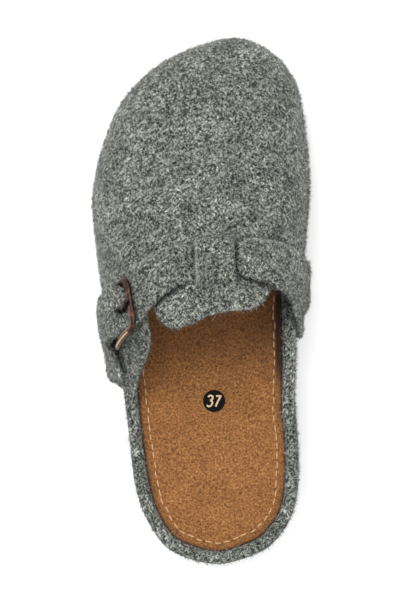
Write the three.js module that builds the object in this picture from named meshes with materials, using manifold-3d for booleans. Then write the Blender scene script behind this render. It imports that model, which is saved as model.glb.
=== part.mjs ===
// A felt clog for the left foot, in millimetres: toe towards +Y, inner side towards +X, floor at z = 0.
import * as THREE from "three";
import { mergeVertices } from "three/addons/utils/BufferGeometryUtils.js";
import Module from "manifold-3d";

const wasm = await Module();
wasm.setup();

// Driving sizes
const LENGTH = 252.4; // wrapped footbed, heel to toe
const BALL_WIDTH = 97.8; // wrapped footbed at the ball
const INSTEP_HEIGHT = 76.5; // floor to the inside of the upper at the throat
const RIM_HEIGHT = 36; // floor to the top of the wrap at the heel
const FOOTBED_HEIGHT = 26; // floor to the footbed in the heel cup
const FELT = 3; // wall of upper, wrap, strap and quarter
const FIT = 0.35; // clearance between pieces that meet
const BEAD = 6.2; // width of the wrap's roll over the footbed's rim
const BEAD_DROP = 4.4; // top of the roll down to the insole's edge
const DISH_BORDER = 22; // width of the rising border of the footbed
const INSOLE = 1.5; // suede sock
const OUTSOLE = 6; // rubber at heel and ball
const ARCH_LIFT = 2.4; // floor to the rubber at the waist
const TOE_SPRING = 10.5; // floor to the rubber at the toe's tip
const HEEL_BEVEL = 1.8; // floor to the rubber at the heel's back edge
const SOLE_INSET = 1; // rubber's edge inside the wrap at the heel
const SOLE_LEDGE = 2.3; // rubber's edge outside the wrap under the upper
const HEEL_DRAFT = 2.2; // how far the wrap draws in from rim to sole, behind the strap
const GROOVE = { width: 2.4, depth: 1.6, pitch: 9 };
const FRAME_BAR = { far: 2.5, side: 1.8, heel: 1.3, thick: 1.5 }; // half widths and half thickness
const FRAME_WIDTH = 25.4; // between the middles of the frame's side bars
const FRAME_CORNER = 4; // radius of the frame's corners
const FRAME_BOW = 1.6; // outward curve of the frame
const FRAME_LIFT = { far: 2.2, heel: 1.15 }; // how far its bars stand off their felt
const FRAME_TILT = 0.22; // radians: its heel-side bar stands further off than its toe-side bar
const CHAPE = { wall: 0.9, from: 2.6, to: 5.6, leg: 4.8 }; // felt loops over the heel bar, beside the prong
const PRONG = { wide: 1.5, thick: 0.7, tip: 2.4 }; // half width, half thickness and reach past the far bar
const STRAP_HOLE = { width: 4.4, from: 1.4, to: 12 }; // from the far bar towards the heel bar

// Places along the shoe, as shares of its length from the heel
const HEEL_FLAT = { from: 0.06, to: 0.28 };
const BALL_FLAT = { from: 0.53, to: 0.72 };
const DRAFT_END = { from: 0.28, to: 0.48 }; // where the wrap's draw-in fades out
const LEDGE_START = { from: 0.47, to: 0.57 }; // where the rubber widens from inset to ledge

const HEEL_Y = -(LENGTH + FIT + FELT) / 2;
const TOE_Y = HEEL_Y + LENGTH;
const LAYER = FELT + FIT;
const yAt = (along) => HEEL_Y + along * LENGTH;
const alongAt = (y) => (y - HEEL_Y) / LENGTH;

// Outline of the wrapped footbed, widths as shares of the ball width, outer side negative
const OUTLINE = [
  { along: 0.0, lateral: 0.086, medial: 0.086 },
  { along: 0.026, lateral: -0.144, medial: 0.302 },
  { along: 0.047, lateral: -0.203, medial: 0.372 },
  { along: 0.089, lateral: -0.269, medial: 0.448 },
  { along: 0.132, lateral: -0.308, medial: 0.478 },
  { along: 0.217, lateral: -0.345, medial: 0.487 },
  { along: 0.302, lateral: -0.372, medial: 0.47 },
  { along: 0.388, lateral: -0.398, medial: 0.472 },
  { along: 0.467, lateral: -0.427, medial: 0.47 },
  { along: 0.535, lateral: -0.455, medial: 0.468 },
  { along: 0.62, lateral: -0.484, medial: 0.481 },
  { along: 0.704, lateral: -0.5, medial: 0.5 },
  { along: 0.79, lateral: -0.46, medial: 0.494 },
  { along: 0.875, lateral: -0.372, medial: 0.465 },
  { along: 0.922, lateral: -0.276, medial: 0.434 },
  { along: 0.962, lateral: -0.135, medial: 0.368 },
  { along: 0.988, lateral: 0.03, medial: 0.276 },
  { along: 1.0, lateral: 0.164, medial: 0.164 },
];

// Crest of the upper from the side, heights as shares of the instep height
const CREST = [
  { along: 0.25, height: 0.47 },
  { along: 0.308, height: 0.53 },
  { along: 0.333, height: 0.575 },
  { along: 0.36, height: 0.65 },
  { along: 0.388, height: 0.765 },
  { along: 0.411, height: 0.863 },
  { along: 0.439, height: 0.954 },
  { along: 0.475, height: 1.0 },
  { along: 0.53, height: 0.974 },
  { along: 0.586, height: 0.92 },
  { along: 0.685, height: 0.817 },
  { along: 0.784, height: 0.706 },
  { along: 0.883, height: 0.595 },
  { along: 0.942, height: 0.51 },
  { along: 0.976, height: 0.43 },
  { along: 0.994, height: 0.355 },
  { along: 1.0, height: 0.285 },
  { along: 0.996, height: 0.22 },
];

// Cross sections: crest's place between the sides, widest point as a share of the rim height, and fullness
const SECTIONS = [
  { along: 0.25, crown: 0.58, widest: 0.69, fullness: 2.2 },
  { along: 0.475, crown: 0.58, widest: 0.72, fullness: 2.1 },
  { along: 0.62, crown: 0.57, widest: 0.61, fullness: 2.3 },
  { along: 0.78, crown: 0.56, widest: 0.58, fullness: 2.4 },
  { along: 0.9, crown: 0.55, widest: 0.6, fullness: 2.4 },
  { along: 1.0, crown: 0.55, widest: 0.6, fullness: 2.3 },
];

// Top of the wrap's roll, as shares of the rim height
const RIM = [
  { along: 0.0, lateral: 1.0, medial: 1.0 },
  { along: 0.19, lateral: 0.96, medial: 0.99 },
  { along: 0.3, lateral: 0.88, medial: 1.02 },
  { along: 0.43, lateral: 0.8, medial: 1.05 },
  { along: 0.53, lateral: 0.73, medial: 0.82 },
  { along: 0.63, lateral: 0.67, medial: 0.67 },
  { along: 0.8, lateral: 0.66, medial: 0.66 },
  { along: 1.0, lateral: 0.7, medial: 0.7 },
];

// Middle of the footbed's top, as shares of its height in the heel cup
const FOOTBED = [
  { along: 0.0, height: 1.06 },
  { along: 0.16, height: 1.0 },
  { along: 0.35, height: 0.97 },
  { along: 0.5, height: 0.8 },
  { along: 0.66, height: 0.64 },
  { along: 0.86, height: 0.66 },
  { along: 1.0, height: 0.72 },
];

// Places on the wall are given by along and across: across is the share of the way from the crest
// to the side as seen from above, and from 1 to 2 it counts down the side wall to the sole.
// Back edge of the upper, from the outer side over the crest to the inner side
const THROAT = [
  { across: -2, along: 0.514 },
  { across: -1, along: 0.522 },
  { across: -0.72, along: 0.518 },
  { across: -0.6, along: 0.506 },
  { across: -0.55, along: 0.49 },
  { across: -0.5, along: 0.469 },
  { across: -0.43, along: 0.457 },
  { across: -0.34, along: 0.455 },
  { across: -0.2, along: 0.466 },
  { across: -0.08, along: 0.477 },
  { across: 0.08, along: 0.485 },
  { across: 0.25, along: 0.488 },
  { across: 0.42, along: 0.49 },
  { across: 0.52, along: 0.498 },
  { across: 0.6, along: 0.513 },
  { across: 0.67, along: 0.527 },
  { across: 0.85, along: 0.529 },
  { across: 1, along: 0.518 },
  { across: 2, along: 0.51 },
];

// The strap from the inner sole edge to its tail: a row for each cross line, with its toe-side end, its
// heel-side end, and how many layers each lies above the upper's outside
const STRAP = [
  { toeAcross: 2, toeAlong: 0.572, toeLift: 0, heelAcross: 2, heelAlong: 0.432, heelLift: 0 },
  { toeAcross: 1.02, toeAlong: 0.578, toeLift: 0, heelAcross: 1.02, heelAlong: 0.444, heelLift: 0 },
  { toeAcross: 0.96, toeAlong: 0.59, toeLift: 0, heelAcross: 0.97, heelAlong: 0.478, heelLift: 0 },
  { toeAcross: 0.82, toeAlong: 0.61, toeLift: 0, heelAcross: 0.84, heelAlong: 0.51, heelLift: 0 },
  { toeAcross: 0.62, toeAlong: 0.621, toeLift: 0, heelAcross: 0.62, heelAlong: 0.535, heelLift: 0 },
  { toeAcross: 0.42, toeAlong: 0.625, toeLift: 0, heelAcross: 0.42, heelAlong: 0.547, heelLift: 0 },
  { toeAcross: 0.33, toeAlong: 0.622, toeLift: 0, heelAcross: 0.33, heelAlong: 0.551, heelLift: 0 },
  { toeAcross: 0.23, toeAlong: 0.618, toeLift: -1, heelAcross: 0.23, heelAlong: 0.554, heelLift: -1 },
  { toeAcross: -0.15, toeAlong: 0.615, toeLift: -1, heelAcross: -0.15, heelAlong: 0.546, heelLift: -1 },
  { toeAcross: -0.26, toeAlong: 0.612, toeLift: 0, heelAcross: -0.25, heelAlong: 0.539, heelLift: 0 },
  { toeAcross: -0.44, toeAlong: 0.603, toeLift: 0, heelAcross: -0.41, heelAlong: 0.52, heelLift: 0 },
  { toeAcross: -0.604, toeAlong: 0.578, toeLift: 0, heelAcross: -0.535, heelAlong: 0.495, heelLift: 0.3 },
  { toeAcross: -0.699, toeAlong: 0.536, toeLift: 0, heelAcross: -0.62, heelAlong: 0.469, heelLift: 0.9 },
  { toeAcross: -0.804, toeAlong: 0.522, toeLift: 1.1, heelAcross: -0.744, heelAlong: 0.446, heelLift: 1.75 },
  { toeAcross: -0.921, toeAlong: 0.496, toeLift: 1.35, heelAcross: -0.855, heelAlong: 0.421, heelLift: 2.2 },
  { toeAcross: -0.988, toeAlong: 0.459, toeLift: 0.55, heelAcross: -0.875, heelAlong: 0.393, heelLift: 1 },
  { toeAcross: -1.009, toeAlong: 0.419, toeLift: 0.2, heelAcross: -0.88, heelAlong: 0.371, heelLift: 0.3 },
  { toeAcross: -1.004, toeAlong: 0.384, toeLift: 0.15, heelAcross: -0.882, heelAlong: 0.357, heelLift: 0.15 },
  { toeAcross: -0.973, toeAlong: 0.354, toeLift: 0.15, heelAcross: -0.93, heelAlong: 0.349, heelLift: 0.15 },
];
const STRAP_AT = { slotIn: 6, keeperIn: 7, keeperOut: 8, slotOut: 9, farBar: 12, heelBar: 14 };
const SLOT = { ends: 0.06, edge: 1.08 }; // room round the strap, in rows and in half widths
// Where the strap spreads over the frame's toe-side bar: rows of its start and end, how much wider its
// toe-side half gets, and how many layers that half rises
const COVER = { start: 12.75, full: 13.15, fade: 14.1, end: 14.9, wider: 0.52, rise: 0.5 };
const KEEPER = { shoulder: 1.12, edge: 1.55, thin: 0.4 }; // half widths, and how much its edge thins

// The prong's rod from the hook to the far bar: along as a share of the frame's length, height in
// thicknesses of felt
const PRONG_ROD = [
  { along: 0.22, height: 0.7 },
  { along: 0.4, height: 0.4 },
  { along: 0.53, height: 0.13 },
  { along: 0.64, height: 0.27 },
  { along: 0.78, height: 0.78 },
];
const HOOK_FROM = -2.3; // angle where the hook starts, under the heel bar

// Outer quarter: its top edge, from its back end to the throat
const QUARTER_TOP = [
  { along: 0.325, across: -0.84 },
  { along: 0.356, across: -0.8 },
  { along: 0.387, across: -0.72 },
  { along: 0.411, across: -0.66 },
  { along: 0.439, across: -0.62 },
  { along: 0.475, across: -0.63 },
  { along: 0.51, across: -0.64 },
];
const QUARTER_BACK_FOOT = 0.35; // where its back end meets the sole

const lerp = THREE.MathUtils.lerp;
const clamp = THREE.MathUtils.clamp;
const smooth = (value, from, to) => THREE.MathUtils.smoothstep(value, from, to);

// Smooth value of one column of a table at a place along another column
function lookup(rows, column, value, key = "along") {
  const last = rows.length - 1;
  const at = clamp(value, rows[0][key], rows[last][key]);
  let i = 0;
  while (i < last - 1 && at > rows[i + 1][key]) i += 1;
  const slope = (k) => {
    const a = rows[Math.max(k - 1, 0)];
    const b = rows[Math.min(k + 1, last)];
    return (b[column] - a[column]) / (b[key] - a[key]);
  };
  const span = rows[i + 1][key] - rows[i][key];
  const t = (at - rows[i][key]) / span;
  const u = 1 - t;
  const from = rows[i][column] * (1 + 2 * t) * u * u + rows[i + 1][column] * (3 - 2 * t) * t * t;
  return from + span * (slope(i) * t * u * u - slope(i + 1) * t * t * u);
}

// A curve moved sideways by a distance, its normals pointing to the left of its direction
function offsetCurve(points, distance) {
  return points.map((p, i) => {
    const before = points[Math.max(i - 1, 0)];
    const after = points[Math.min(i + 1, points.length - 1)];
    const along = after.clone().sub(before).normalize();
    return new THREE.Vector2(p.x - along.y * distance, p.y + along.x * distance);
  });
}

function cached(make) {
  const kept = new Map();
  return (key) => {
    if (!kept.has(key)) kept.set(key, make(key));
    return kept.get(key);
  };
}

// The outline as one closed curve from the heel's middle up the outer side to the toe and back
const OUTLINE_STEPS = 600;
const outlineCurve = (() => {
  const place = (row, side) => new THREE.Vector3(row[side] * BALL_WIDTH, yAt(row.along), 0);
  const outer = OUTLINE.map((row) => place(row, "lateral"));
  const inner = OUTLINE.slice(1, -1).reverse().map((row) => place(row, "medial"));
  const curve = new THREE.CatmullRomCurve3([...outer, ...inner], true, "centripetal");
  return curve.getSpacedPoints(OUTLINE_STEPS).slice(0, -1).map((p) => new THREE.Vector2(p.x, p.y));
})();

const outlineOut = cached((out) => {
  const n = outlineCurve.length;
  const moved = outlineCurve.map((p, i) => {
    const along = outlineCurve[(i + 1) % n].clone().sub(outlineCurve[(i + n - 1) % n]).normalize();
    return new THREE.Vector2(p.x - along.y * out, p.y + along.x * out);
  });
  const ys = moved.map((p) => p.y);
  const low = ys.indexOf(Math.min(...ys));
  const high = ys.indexOf(Math.max(...ys));
  const walk = (from, to) => {
    const line = [];
    for (let i = from; i !== to; i = (i + 1) % n) line.push(moved[i]);
    return [...line, moved[to]];
  };
  return { lateral: walk(low, high), medial: walk(high, low).reverse(), low: moved[low], high: moved[high] };
});

function xOnLine(line, y) {
  let a = 0;
  let b = line.length - 1;
  while (b - a > 1) {
    const m = (a + b) >> 1;
    if (line[m].y <= y) a = m;
    else b = m;
  }
  const share = clamp((y - line[a].y) / (line[b].y - line[a].y || 1), 0, 1);
  return lerp(line[a].x, line[b].x, share);
}

// Edge of the outline at y, moved out from the wrapped footbed
const edgeX = (y, side, out) => xOnLine(outlineOut(out)[side], y);

function crownX(y, out) {
  const share = lookup(SECTIONS, "crown", alongAt(y));
  return lerp(edgeX(y, "lateral", out), edgeX(y, "medial", out), share);
}

// Crest of the wall from the side, moved out square to itself
const crestOut = cached((out) => {
  const points = CREST.map((row) => new THREE.Vector2(yAt(row.along), row.height * INSTEP_HEIGHT));
  const line = offsetCurve(new THREE.SplineCurve(points).getPoints(400), out);
  const tip = line.reduce((best, p, i) => (p.x > line[best].x ? i : best), 0);
  return line.slice(0, tip + 1).map((p) => new THREE.Vector2(p.y, p.x));
});
const crestZ = (y, out) => xOnLine(crestOut(out), y);

// Underside of the rubber
function floorZ(y) {
  const along = clamp(alongAt(y), 0, 1);
  if (along < HEEL_FLAT.from) return HEEL_BEVEL * (1 - along / HEEL_FLAT.from) ** 2;
  if (along > BALL_FLAT.to) return TOE_SPRING * ((along - BALL_FLAT.to) / (1 - BALL_FLAT.to)) ** 1.7;
  const arch = clamp((along - HEEL_FLAT.to) / (BALL_FLAT.from - HEEL_FLAT.to), 0, 1);
  return ARCH_LIFT * Math.sin(Math.PI * arch) ** 2;
}
const soleZ = (y) => floorZ(y) + OUTSOLE;
const sideShare = (x, y) => {
  const from = edgeX(y, "lateral", 0);
  return clamp((x - from) / Math.max(edgeX(y, "medial", 0) - from, 1), 0, 1);
};
function rimZ(x, y) {
  const lateral = lookup(RIM, "lateral", alongAt(y));
  const medial = lookup(RIM, "medial", alongAt(y));
  return RIM_HEIGHT * lerp(lateral, medial, smooth(sideShare(x, y), 0, 1));
}

// A point of the wall that upper, quarter and strap share: turn runs from -1 at the outer sole edge
// over 0 at the crest to 1 at the inner sole edge, and out is the distance outside the wrap
const KNEE = 0.78;
function wallPoint(y, turn, out) {
  const side = turn < 0 ? "lateral" : "medial";
  const edge = edgeX(y, side, out);
  const widest = lookup(SECTIONS, "widest", alongAt(y)) * RIM_HEIGHT;
  const size = Math.abs(turn);
  if (size > KNEE) {
    const down = (size - KNEE) / (1 - KNEE);
    return new THREE.Vector3(edge, y, lerp(widest, soleZ(y) + FIT, down));
  }
  const crown = crownX(y, out);
  const angle = ((1 - size / KNEE) * Math.PI) / 2;
  const power = 2 / lookup(SECTIONS, "fullness", alongAt(y));
  const x = lerp(crown, edge, Math.cos(angle) ** power);
  return new THREE.Vector3(x, y, lerp(widest, crestZ(y, out), Math.sin(angle) ** power));
}

function turnAt(across, along) {
  const size = Math.abs(across);
  const sign = Math.sign(across);
  if (size > 1) return sign * (KNEE + (size - 1) * (1 - KNEE));
  const fullness = lookup(SECTIONS, "fullness", along);
  return sign * KNEE * (1 - Math.acos(size ** (fullness / 2)) / (Math.PI / 2));
}

// Closed solid from loose triangles
function solid(points, triangles) {
  const geometry = new THREE.BufferGeometry();
  geometry.setAttribute("position", new THREE.Float32BufferAttribute(points.flatMap((p) => p.toArray()), 3));
  geometry.setIndex(triangles.flat());
  const merged = mergeVertices(geometry, 1e-3);
  const index = [...merged.index.array];
  const kept = [];
  for (let i = 0; i < index.length; i += 3) {
    const [a, b, c] = index.slice(i, i + 3);
    if (a !== b && b !== c && c !== a) kept.push(a, b, c);
  }
  merged.setIndex(kept);
  if (volumeOf(merged) < 0) merged.setIndex(kept.reverse());
  return merged;
}

function volumeOf(geometry) {
  const at = geometry.getAttribute("position");
  const corner = (i) => new THREE.Vector3().fromBufferAttribute(at, geometry.index.array[i]);
  let sum = 0;
  for (let i = 0; i < geometry.index.count; i += 3) sum += corner(i).dot(corner(i + 1).cross(corner(i + 2)));
  return sum / 6;
}

// Closed slab over a grid: at(u, v, k) is a point, with k = 1 outside and 0 inside.
// A foldedEnd has its last line lying on itself, as at a toe, and needs no wall there.
function slab(us, vs, at, foldedEnd = false) {
  const points = [];
  for (const k of [0, 1]) for (const u of us) for (const v of vs) points.push(at(u, v, k));
  const id = (i, j, k) => (k * us.length + i) * vs.length + j;
  const triangles = [];
  const quad = (a, b, c, d) => triangles.push([a, b, c], [a, c, d]);
  const lastU = us.length - 1;
  const lastV = vs.length - 1;
  for (let i = 0; i < lastU; i += 1) {
    for (let j = 0; j < lastV; j += 1) {
      quad(id(i, j, 1), id(i + 1, j, 1), id(i + 1, j + 1, 1), id(i, j + 1, 1));
      quad(id(i, j, 0), id(i, j + 1, 0), id(i + 1, j + 1, 0), id(i + 1, j, 0));
    }
    quad(id(i, 0, 0), id(i + 1, 0, 0), id(i + 1, 0, 1), id(i, 0, 1));
    quad(id(i, lastV, 1), id(i + 1, lastV, 1), id(i + 1, lastV, 0), id(i, lastV, 0));
  }
  for (let j = 0; j < lastV; j += 1) {
    quad(id(0, j, 0), id(0, j, 1), id(0, j + 1, 1), id(0, j + 1, 0));
    if (!foldedEnd) quad(id(lastU, j, 1), id(lastU, j, 0), id(lastU, j + 1, 0), id(lastU, j + 1, 1));
  }
  return solid(points, triangles);
}

// Closed ring: at(i, j) is a point of section j at step i, both ways round
function ring(steps, sectionSize, at) {
  const points = [];
  const triangles = [];
  for (let i = 0; i < steps; i += 1) for (let j = 0; j < sectionSize; j += 1) points.push(at(i, j));
  const id = (i, j) => (i % steps) * sectionSize + (j % sectionSize);
  for (let i = 0; i < steps; i += 1) {
    for (let j = 0; j < sectionSize; j += 1) {
      triangles.push([id(i, j), id(i + 1, j), id(i + 1, j + 1)], [id(i, j), id(i + 1, j + 1), id(i, j + 1)]);
    }
  }
  return solid(points, triangles);
}

const steps = (count) => Array.from({ length: count + 1 }, (_, i) => i / count);
const bothEnds = (t) => (1 - Math.cos(Math.PI * t)) / 2; // crowds steps at both ends
const farEnd = (t) => Math.sin((Math.PI * t) / 2); // crowds steps at the far end

// How far the footbed and its wrap draw in at the sole
const draftAt = (y) => {
  const share = 1 - smooth(alongAt(y), DRAFT_END.from, DRAFT_END.to);
  return Math.round(HEEL_DRAFT * 10 * share) / 10;
};

// Plate inside the outline, between two height functions: outAt(y, k) moves its edge, k = 1 at the top
function plate(outAt, top, bottom, counts) {
  return slab(
    steps(counts.along).map(bothEnds),
    steps(counts.across).map(bothEnds),
    (u, v, k) => {
      const y = lerp(outlineOut(outAt(HEEL_Y, k)).low.y, outlineOut(outAt(TOE_Y, k)).high.y, u);
      const x = lerp(edgeX(y, "lateral", outAt(y, k)), edgeX(y, "medial", outAt(y, k)), v);
      return new THREE.Vector3(x, y, k ? top(x, y) : bottom(x, y));
    },
  );
}

// Distance inwards from the insole's edge, 0 under the wrap's roll
function rimDistance(x, y) {
  const line = outlineOut(-LAYER);
  const nearest = (points) => Math.min(...points.map((p) => Math.hypot(p.x - x, p.y - y)));
  return Math.max(0, Math.min(nearest(line.lateral), nearest(line.medial)) - (BEAD + FIT - LAYER));
}

function footbedZ(x, y) {
  const middle = lookup(FOOTBED, "height", alongAt(y)) * FOOTBED_HEIGHT;
  const edge = rimZ(x, y) - BEAD_DROP - INSOLE - FIT;
  const rise = (1 - Math.min(rimDistance(x, y) / DISH_BORDER, 1)) ** 2;
  return lerp(middle, edge, rise);
}

// Manifold solids for joins and cuts
function toManifold(geometry) {
  return new wasm.Manifold(
    new wasm.Mesh({
      numProp: 3,
      vertProperties: new Float32Array(geometry.getAttribute("position").array),
      triVerts: new Uint32Array(geometry.index.array),
    }),
  );
}

function fromManifold(made) {
  const mesh = made.getMesh();
  const geometry = new THREE.BufferGeometry();
  geometry.setAttribute("position", new THREE.BufferAttribute(mesh.vertProperties, 3));
  geometry.setIndex(new THREE.BufferAttribute(mesh.triVerts, 1));
  return geometry;
}

function merged(geometry) {
  geometry.deleteAttribute("normal");
  geometry.deleteAttribute("uv");
  return mergeVertices(geometry, 1e-3);
}

// Rubber outsole with cross grooves in its two flats
function outsoleGeometry() {
  const outAt = (y) => {
    const share = Math.round(smooth(alongAt(y), LEDGE_START.from, LEDGE_START.to) * 10) / 10;
    return lerp(-SOLE_INSET - draftAt(y), SOLE_LEDGE, share);
  };
  const body = plate(outAt, (x, y) => soleZ(y), (x, y) => floorZ(y), { along: 36, across: 4 });
  const grooves = [HEEL_FLAT, BALL_FLAT].flatMap((flat) => {
    const room = (flat.to - flat.from) * LENGTH;
    const count = Math.floor(room / GROOVE.pitch);
    return steps(count).slice(1, -1).map((t) => yAt(lerp(flat.from, flat.to, t)));
  });
  let made = toManifold(body);
  for (const y of grooves) {
    const box = merged(new THREE.BoxGeometry(BALL_WIDTH * 1.4, GROOVE.width, GROOVE.depth * 2));
    box.translate(0, y, 0);
    made = made.subtract(toManifold(box));
  }
  return fromManifold(made);
}

// Moulded footbed inside the wrap
function footbedGeometry() {
  const counts = { along: 24, across: 12 };
  const outAt = (y, k) => -LAYER - FIT / 2 - (k ? 0 : draftAt(y) + FIT / 2);
  return plate(outAt, footbedZ, (x, y) => soleZ(y) + FIT, counts);
}

// Suede sock on the footbed
function insoleGeometry() {
  const top = (x, y) => footbedZ(x, y) + FIT + INSOLE;
  return plate(() => -BEAD - FIT, top, (x, y) => footbedZ(x, y) + FIT, { along: 24, across: 12 });
}

// Felt band round the footbed, rolled over its rim
function wrapGeometry() {
  const roll = BEAD / 2;
  const arc = steps(5).map((t) => Math.PI * t);
  const stepsRound = 76;
  return ring(stepsRound, arc.length + 4, (i, j) => {
    const at = Math.round((i * outlineCurve.length) / stepsRound);
    const n = outlineCurve.length;
    const p = outlineCurve[at];
    const along = outlineCurve[(at + 1) % n].clone().sub(outlineCurve[(at + n - 1) % n]).normalize();
    const top = rimZ(p.x, p.y);
    const foot = soleZ(p.y) + FIT;
    const under = top - BEAD_DROP - INSOLE;
    const draft = draftAt(p.y);
    const section = [
      [-draft, foot],
      ...arc.map((a) => [-roll + roll * Math.cos(a), top - roll + roll * Math.sin(a)]),
      [-BEAD, under],
      [-FELT, under],
      [-FELT - draft, foot],
    ];
    const [out, z] = section[j];
    return new THREE.Vector3(p.x - along.y * out, p.y + along.x * out, z);
  });
}

const throatY = (turn) => {
  const rows = THROAT.map((row) => ({ turn: turnAt(row.across, row.along), along: row.along }));
  return yAt(lookup(rows, "along", turn, "turn"));
};

// Point of the strap's path: row counts along it, side runs from -1 at its heel side to 1 at its toe side
const OFFSET_STEPS = 20; // offsets along the strap are rounded to this share of a millimetre
const strapRows = STRAP.map((row, step) => ({
  step,
  toeTurn: turnAt(row.toeAcross, row.toeAlong),
  heelTurn: turnAt(row.heelAcross, row.heelAlong),
  ...row,
}));
function strapPoint(row, side, out) {
  const get = (column) => lookup(strapRows, column, row, "step");
  const share = (side + 1) / 2;
  const turn = lerp(get("heelTurn"), get("toeTurn"), share);
  const y = yAt(lerp(get("heelAlong"), get("toeAlong"), share));
  return wallPoint(y, turn, Math.round(out * OFFSET_STEPS) / OFFSET_STEPS);
}

// How far the strap has spread over the frame's toe-side bar
const coverAt = (row) => smooth(row, COVER.start, COVER.full) * (1 - smooth(row, COVER.fade, COVER.end));
const spread = (row, side) => (side > 0 ? side * (1 + COVER.wider * coverAt(row)) : side);
const coverRise = (row, side) => {
  const early = smooth(row, COVER.start - 0.3, COVER.full - 0.2) * (1 - smooth(row, COVER.full, COVER.full + 0.6));
  return COVER.rise * early * smooth(side, 0.3, 1);
};

// Inside of the strap: on the wrap behind the upper's edge, and one layer further out over the upper
function strapOut(row, side) {
  const get = (column) => lookup(strapRows, column, row, "step");
  const share = (side + 1) / 2;
  const turn = lerp(get("heelTurn"), get("toeTurn"), share);
  const past = yAt(lerp(get("heelAlong"), get("toeAlong"), share)) - throatY(turn);
  const over = turn > 0 ? smooth(past, -3 * LAYER, -LAYER) : 1;
  const lift = lerp(get("heelLift"), get("toeLift"), Math.min(share, 1));
  return FIT + LAYER * (over + lift + coverRise(row, side));
}

// Frame of reference of the buckle, from the strap's path
const farOut = FIT + 2 * LAYER + FRAME_BAR.thick + FRAME_LIFT.far;
const heelOut = FIT + LAYER + FRAME_BAR.heel + FRAME_LIFT.heel;
const buckle = (() => {
  const far = strapPoint(STRAP_AT.farBar, 0, farOut);
  const heel = strapPoint(STRAP_AT.heelBar, 0, heelOut);
  const middle = (STRAP_AT.farBar + STRAP_AT.heelBar) / 2;
  const down = heel.clone().sub(far);
  const length = down.length();
  down.normalize();
  const side = strapPoint(middle, 1, heelOut).sub(strapPoint(middle, -1, heelOut));
  side.addScaledVector(down, -side.dot(down)).normalize();
  const outward = new THREE.Vector3().crossVectors(side, down).normalize();
  if (outward.x > 0) outward.negate();
  const level = side.clone();
  side.multiplyScalar(Math.cos(FRAME_TILT)).addScaledVector(outward, -Math.sin(FRAME_TILT));
  outward.multiplyScalar(Math.cos(FRAME_TILT)).addScaledVector(level, Math.sin(FRAME_TILT));
  return { heel, down, side, outward, length };
})();

// Point given from the heel bar's middle: along is 0 at the heel bar and negative towards the far bar
function bucklePoint(along, side, height) {
  return buckle.heel
    .clone()
    .addScaledVector(buckle.down, along)
    .addScaledVector(buckle.side, side)
    .addScaledVector(buckle.outward, height);
}
const bowAt = (along) => {
  const share = clamp(-along / buckle.length, 0, 1);
  return FRAME_BOW * 4 * share * (1 - share);
};

// Closed slab that follows the strap's path, between two heights
function strapSlab(rowSteps, sideSteps, outAt) {
  return slab(rowSteps, sideSteps, (row, side, k) => strapPoint(row, side, outAt(row, side, k)));
}

const span = (from, to, count) => steps(count).map((t) => lerp(from, to, t));

// Hollow felt upper with the strap's slot cut through and the keeper bridging it
function upperGeometry() {
  const turns = steps(32).map((t) => 2 * t - 1);
  const shell = slab(
    steps(22).map(farEnd),
    turns,
    (u, turn, k) => {
      const out = k ? LAYER : FIT;
      const y = lerp(throatY(turn), outlineOut(out).high.y, u);
      return wallPoint(y, turn, out);
    },
    true,
  );
  const { slotIn, keeperIn, keeperOut, slotOut } = STRAP_AT;
  const slotRows = span(slotIn - SLOT.ends, slotOut + SLOT.ends, 8);
  const slotSides = span(-SLOT.edge, SLOT.edge, 4);
  const slot = strapSlab(slotRows, slotSides, (row, side, k) => (k ? 2 * LAYER : -LAYER));
  const keeperSides = span(-KEEPER.edge, KEEPER.edge, 14);
  const keeper = strapSlab(span(keeperIn, keeperOut, 6), keeperSides, (row, side, k) => {
    const raised = 1 - smooth(Math.abs(side), KEEPER.shoulder, KEEPER.edge);
    const thin = KEEPER.thin * (1 - raised);
    return FIT + LAYER * raised + (k ? FELT - thin : thin);
  });
  return fromManifold(toManifold(shell).subtract(toManifold(slot)).add(toManifold(keeper)));
}

// Felt strap with the prong's hole
const STRAP_SIDES = [-1, -0.6, -0.2, 0.2, 0.6, 1];
function strapGeometry() {
  const last = STRAP.length - 1;
  const rows = [...span(0, 10, 30), ...span(10, 15, 30).slice(1), ...span(15, last, 10).slice(1)];
  const body = slab(rows, STRAP_SIDES, (row, side, k) => {
    const wide = spread(row, side);
    return strapPoint(row, wide, strapOut(row, wide) + (k ? FELT : 0));
  });
  const long = STRAP_HOLE.to - STRAP_HOLE.from;
  const hole = merged(new THREE.BoxGeometry(long, STRAP_HOLE.width, 4 * LAYER));
  const basis = new THREE.Matrix4().makeBasis(buckle.down, buckle.side, buckle.outward);
  if (basis.determinant() < 0) basis.makeBasis(buckle.down, buckle.side.clone().negate(), buckle.outward);
  const middle = -buckle.length + (STRAP_HOLE.from + STRAP_HOLE.to) / 2;
  basis.setPosition(bucklePoint(middle, 0, FELT));
  hole.applyMatrix4(basis);
  return fromManifold(toManifold(body).subtract(toManifold(hole)));
}

// Loop of the quarter over the heel bar, its legs sunk into the quarter's wall
function chapeGeometry(from, to) {
  const inner = FRAME_BAR.heel + FIT;
  const { leg } = CHAPE;
  const arc = span(Math.PI, 0, 8).map((a) => [Math.cos(a), Math.sin(a), 0]);
  const path = [[-1, 0, -leg], ...arc, [1, 0, -leg]];
  return slab(path, [from, to], ([x, z, drop], side, k) => {
    const radius = inner + k * CHAPE.wall;
    return bucklePoint(x * radius, side, z * radius + drop);
  });
}

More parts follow.
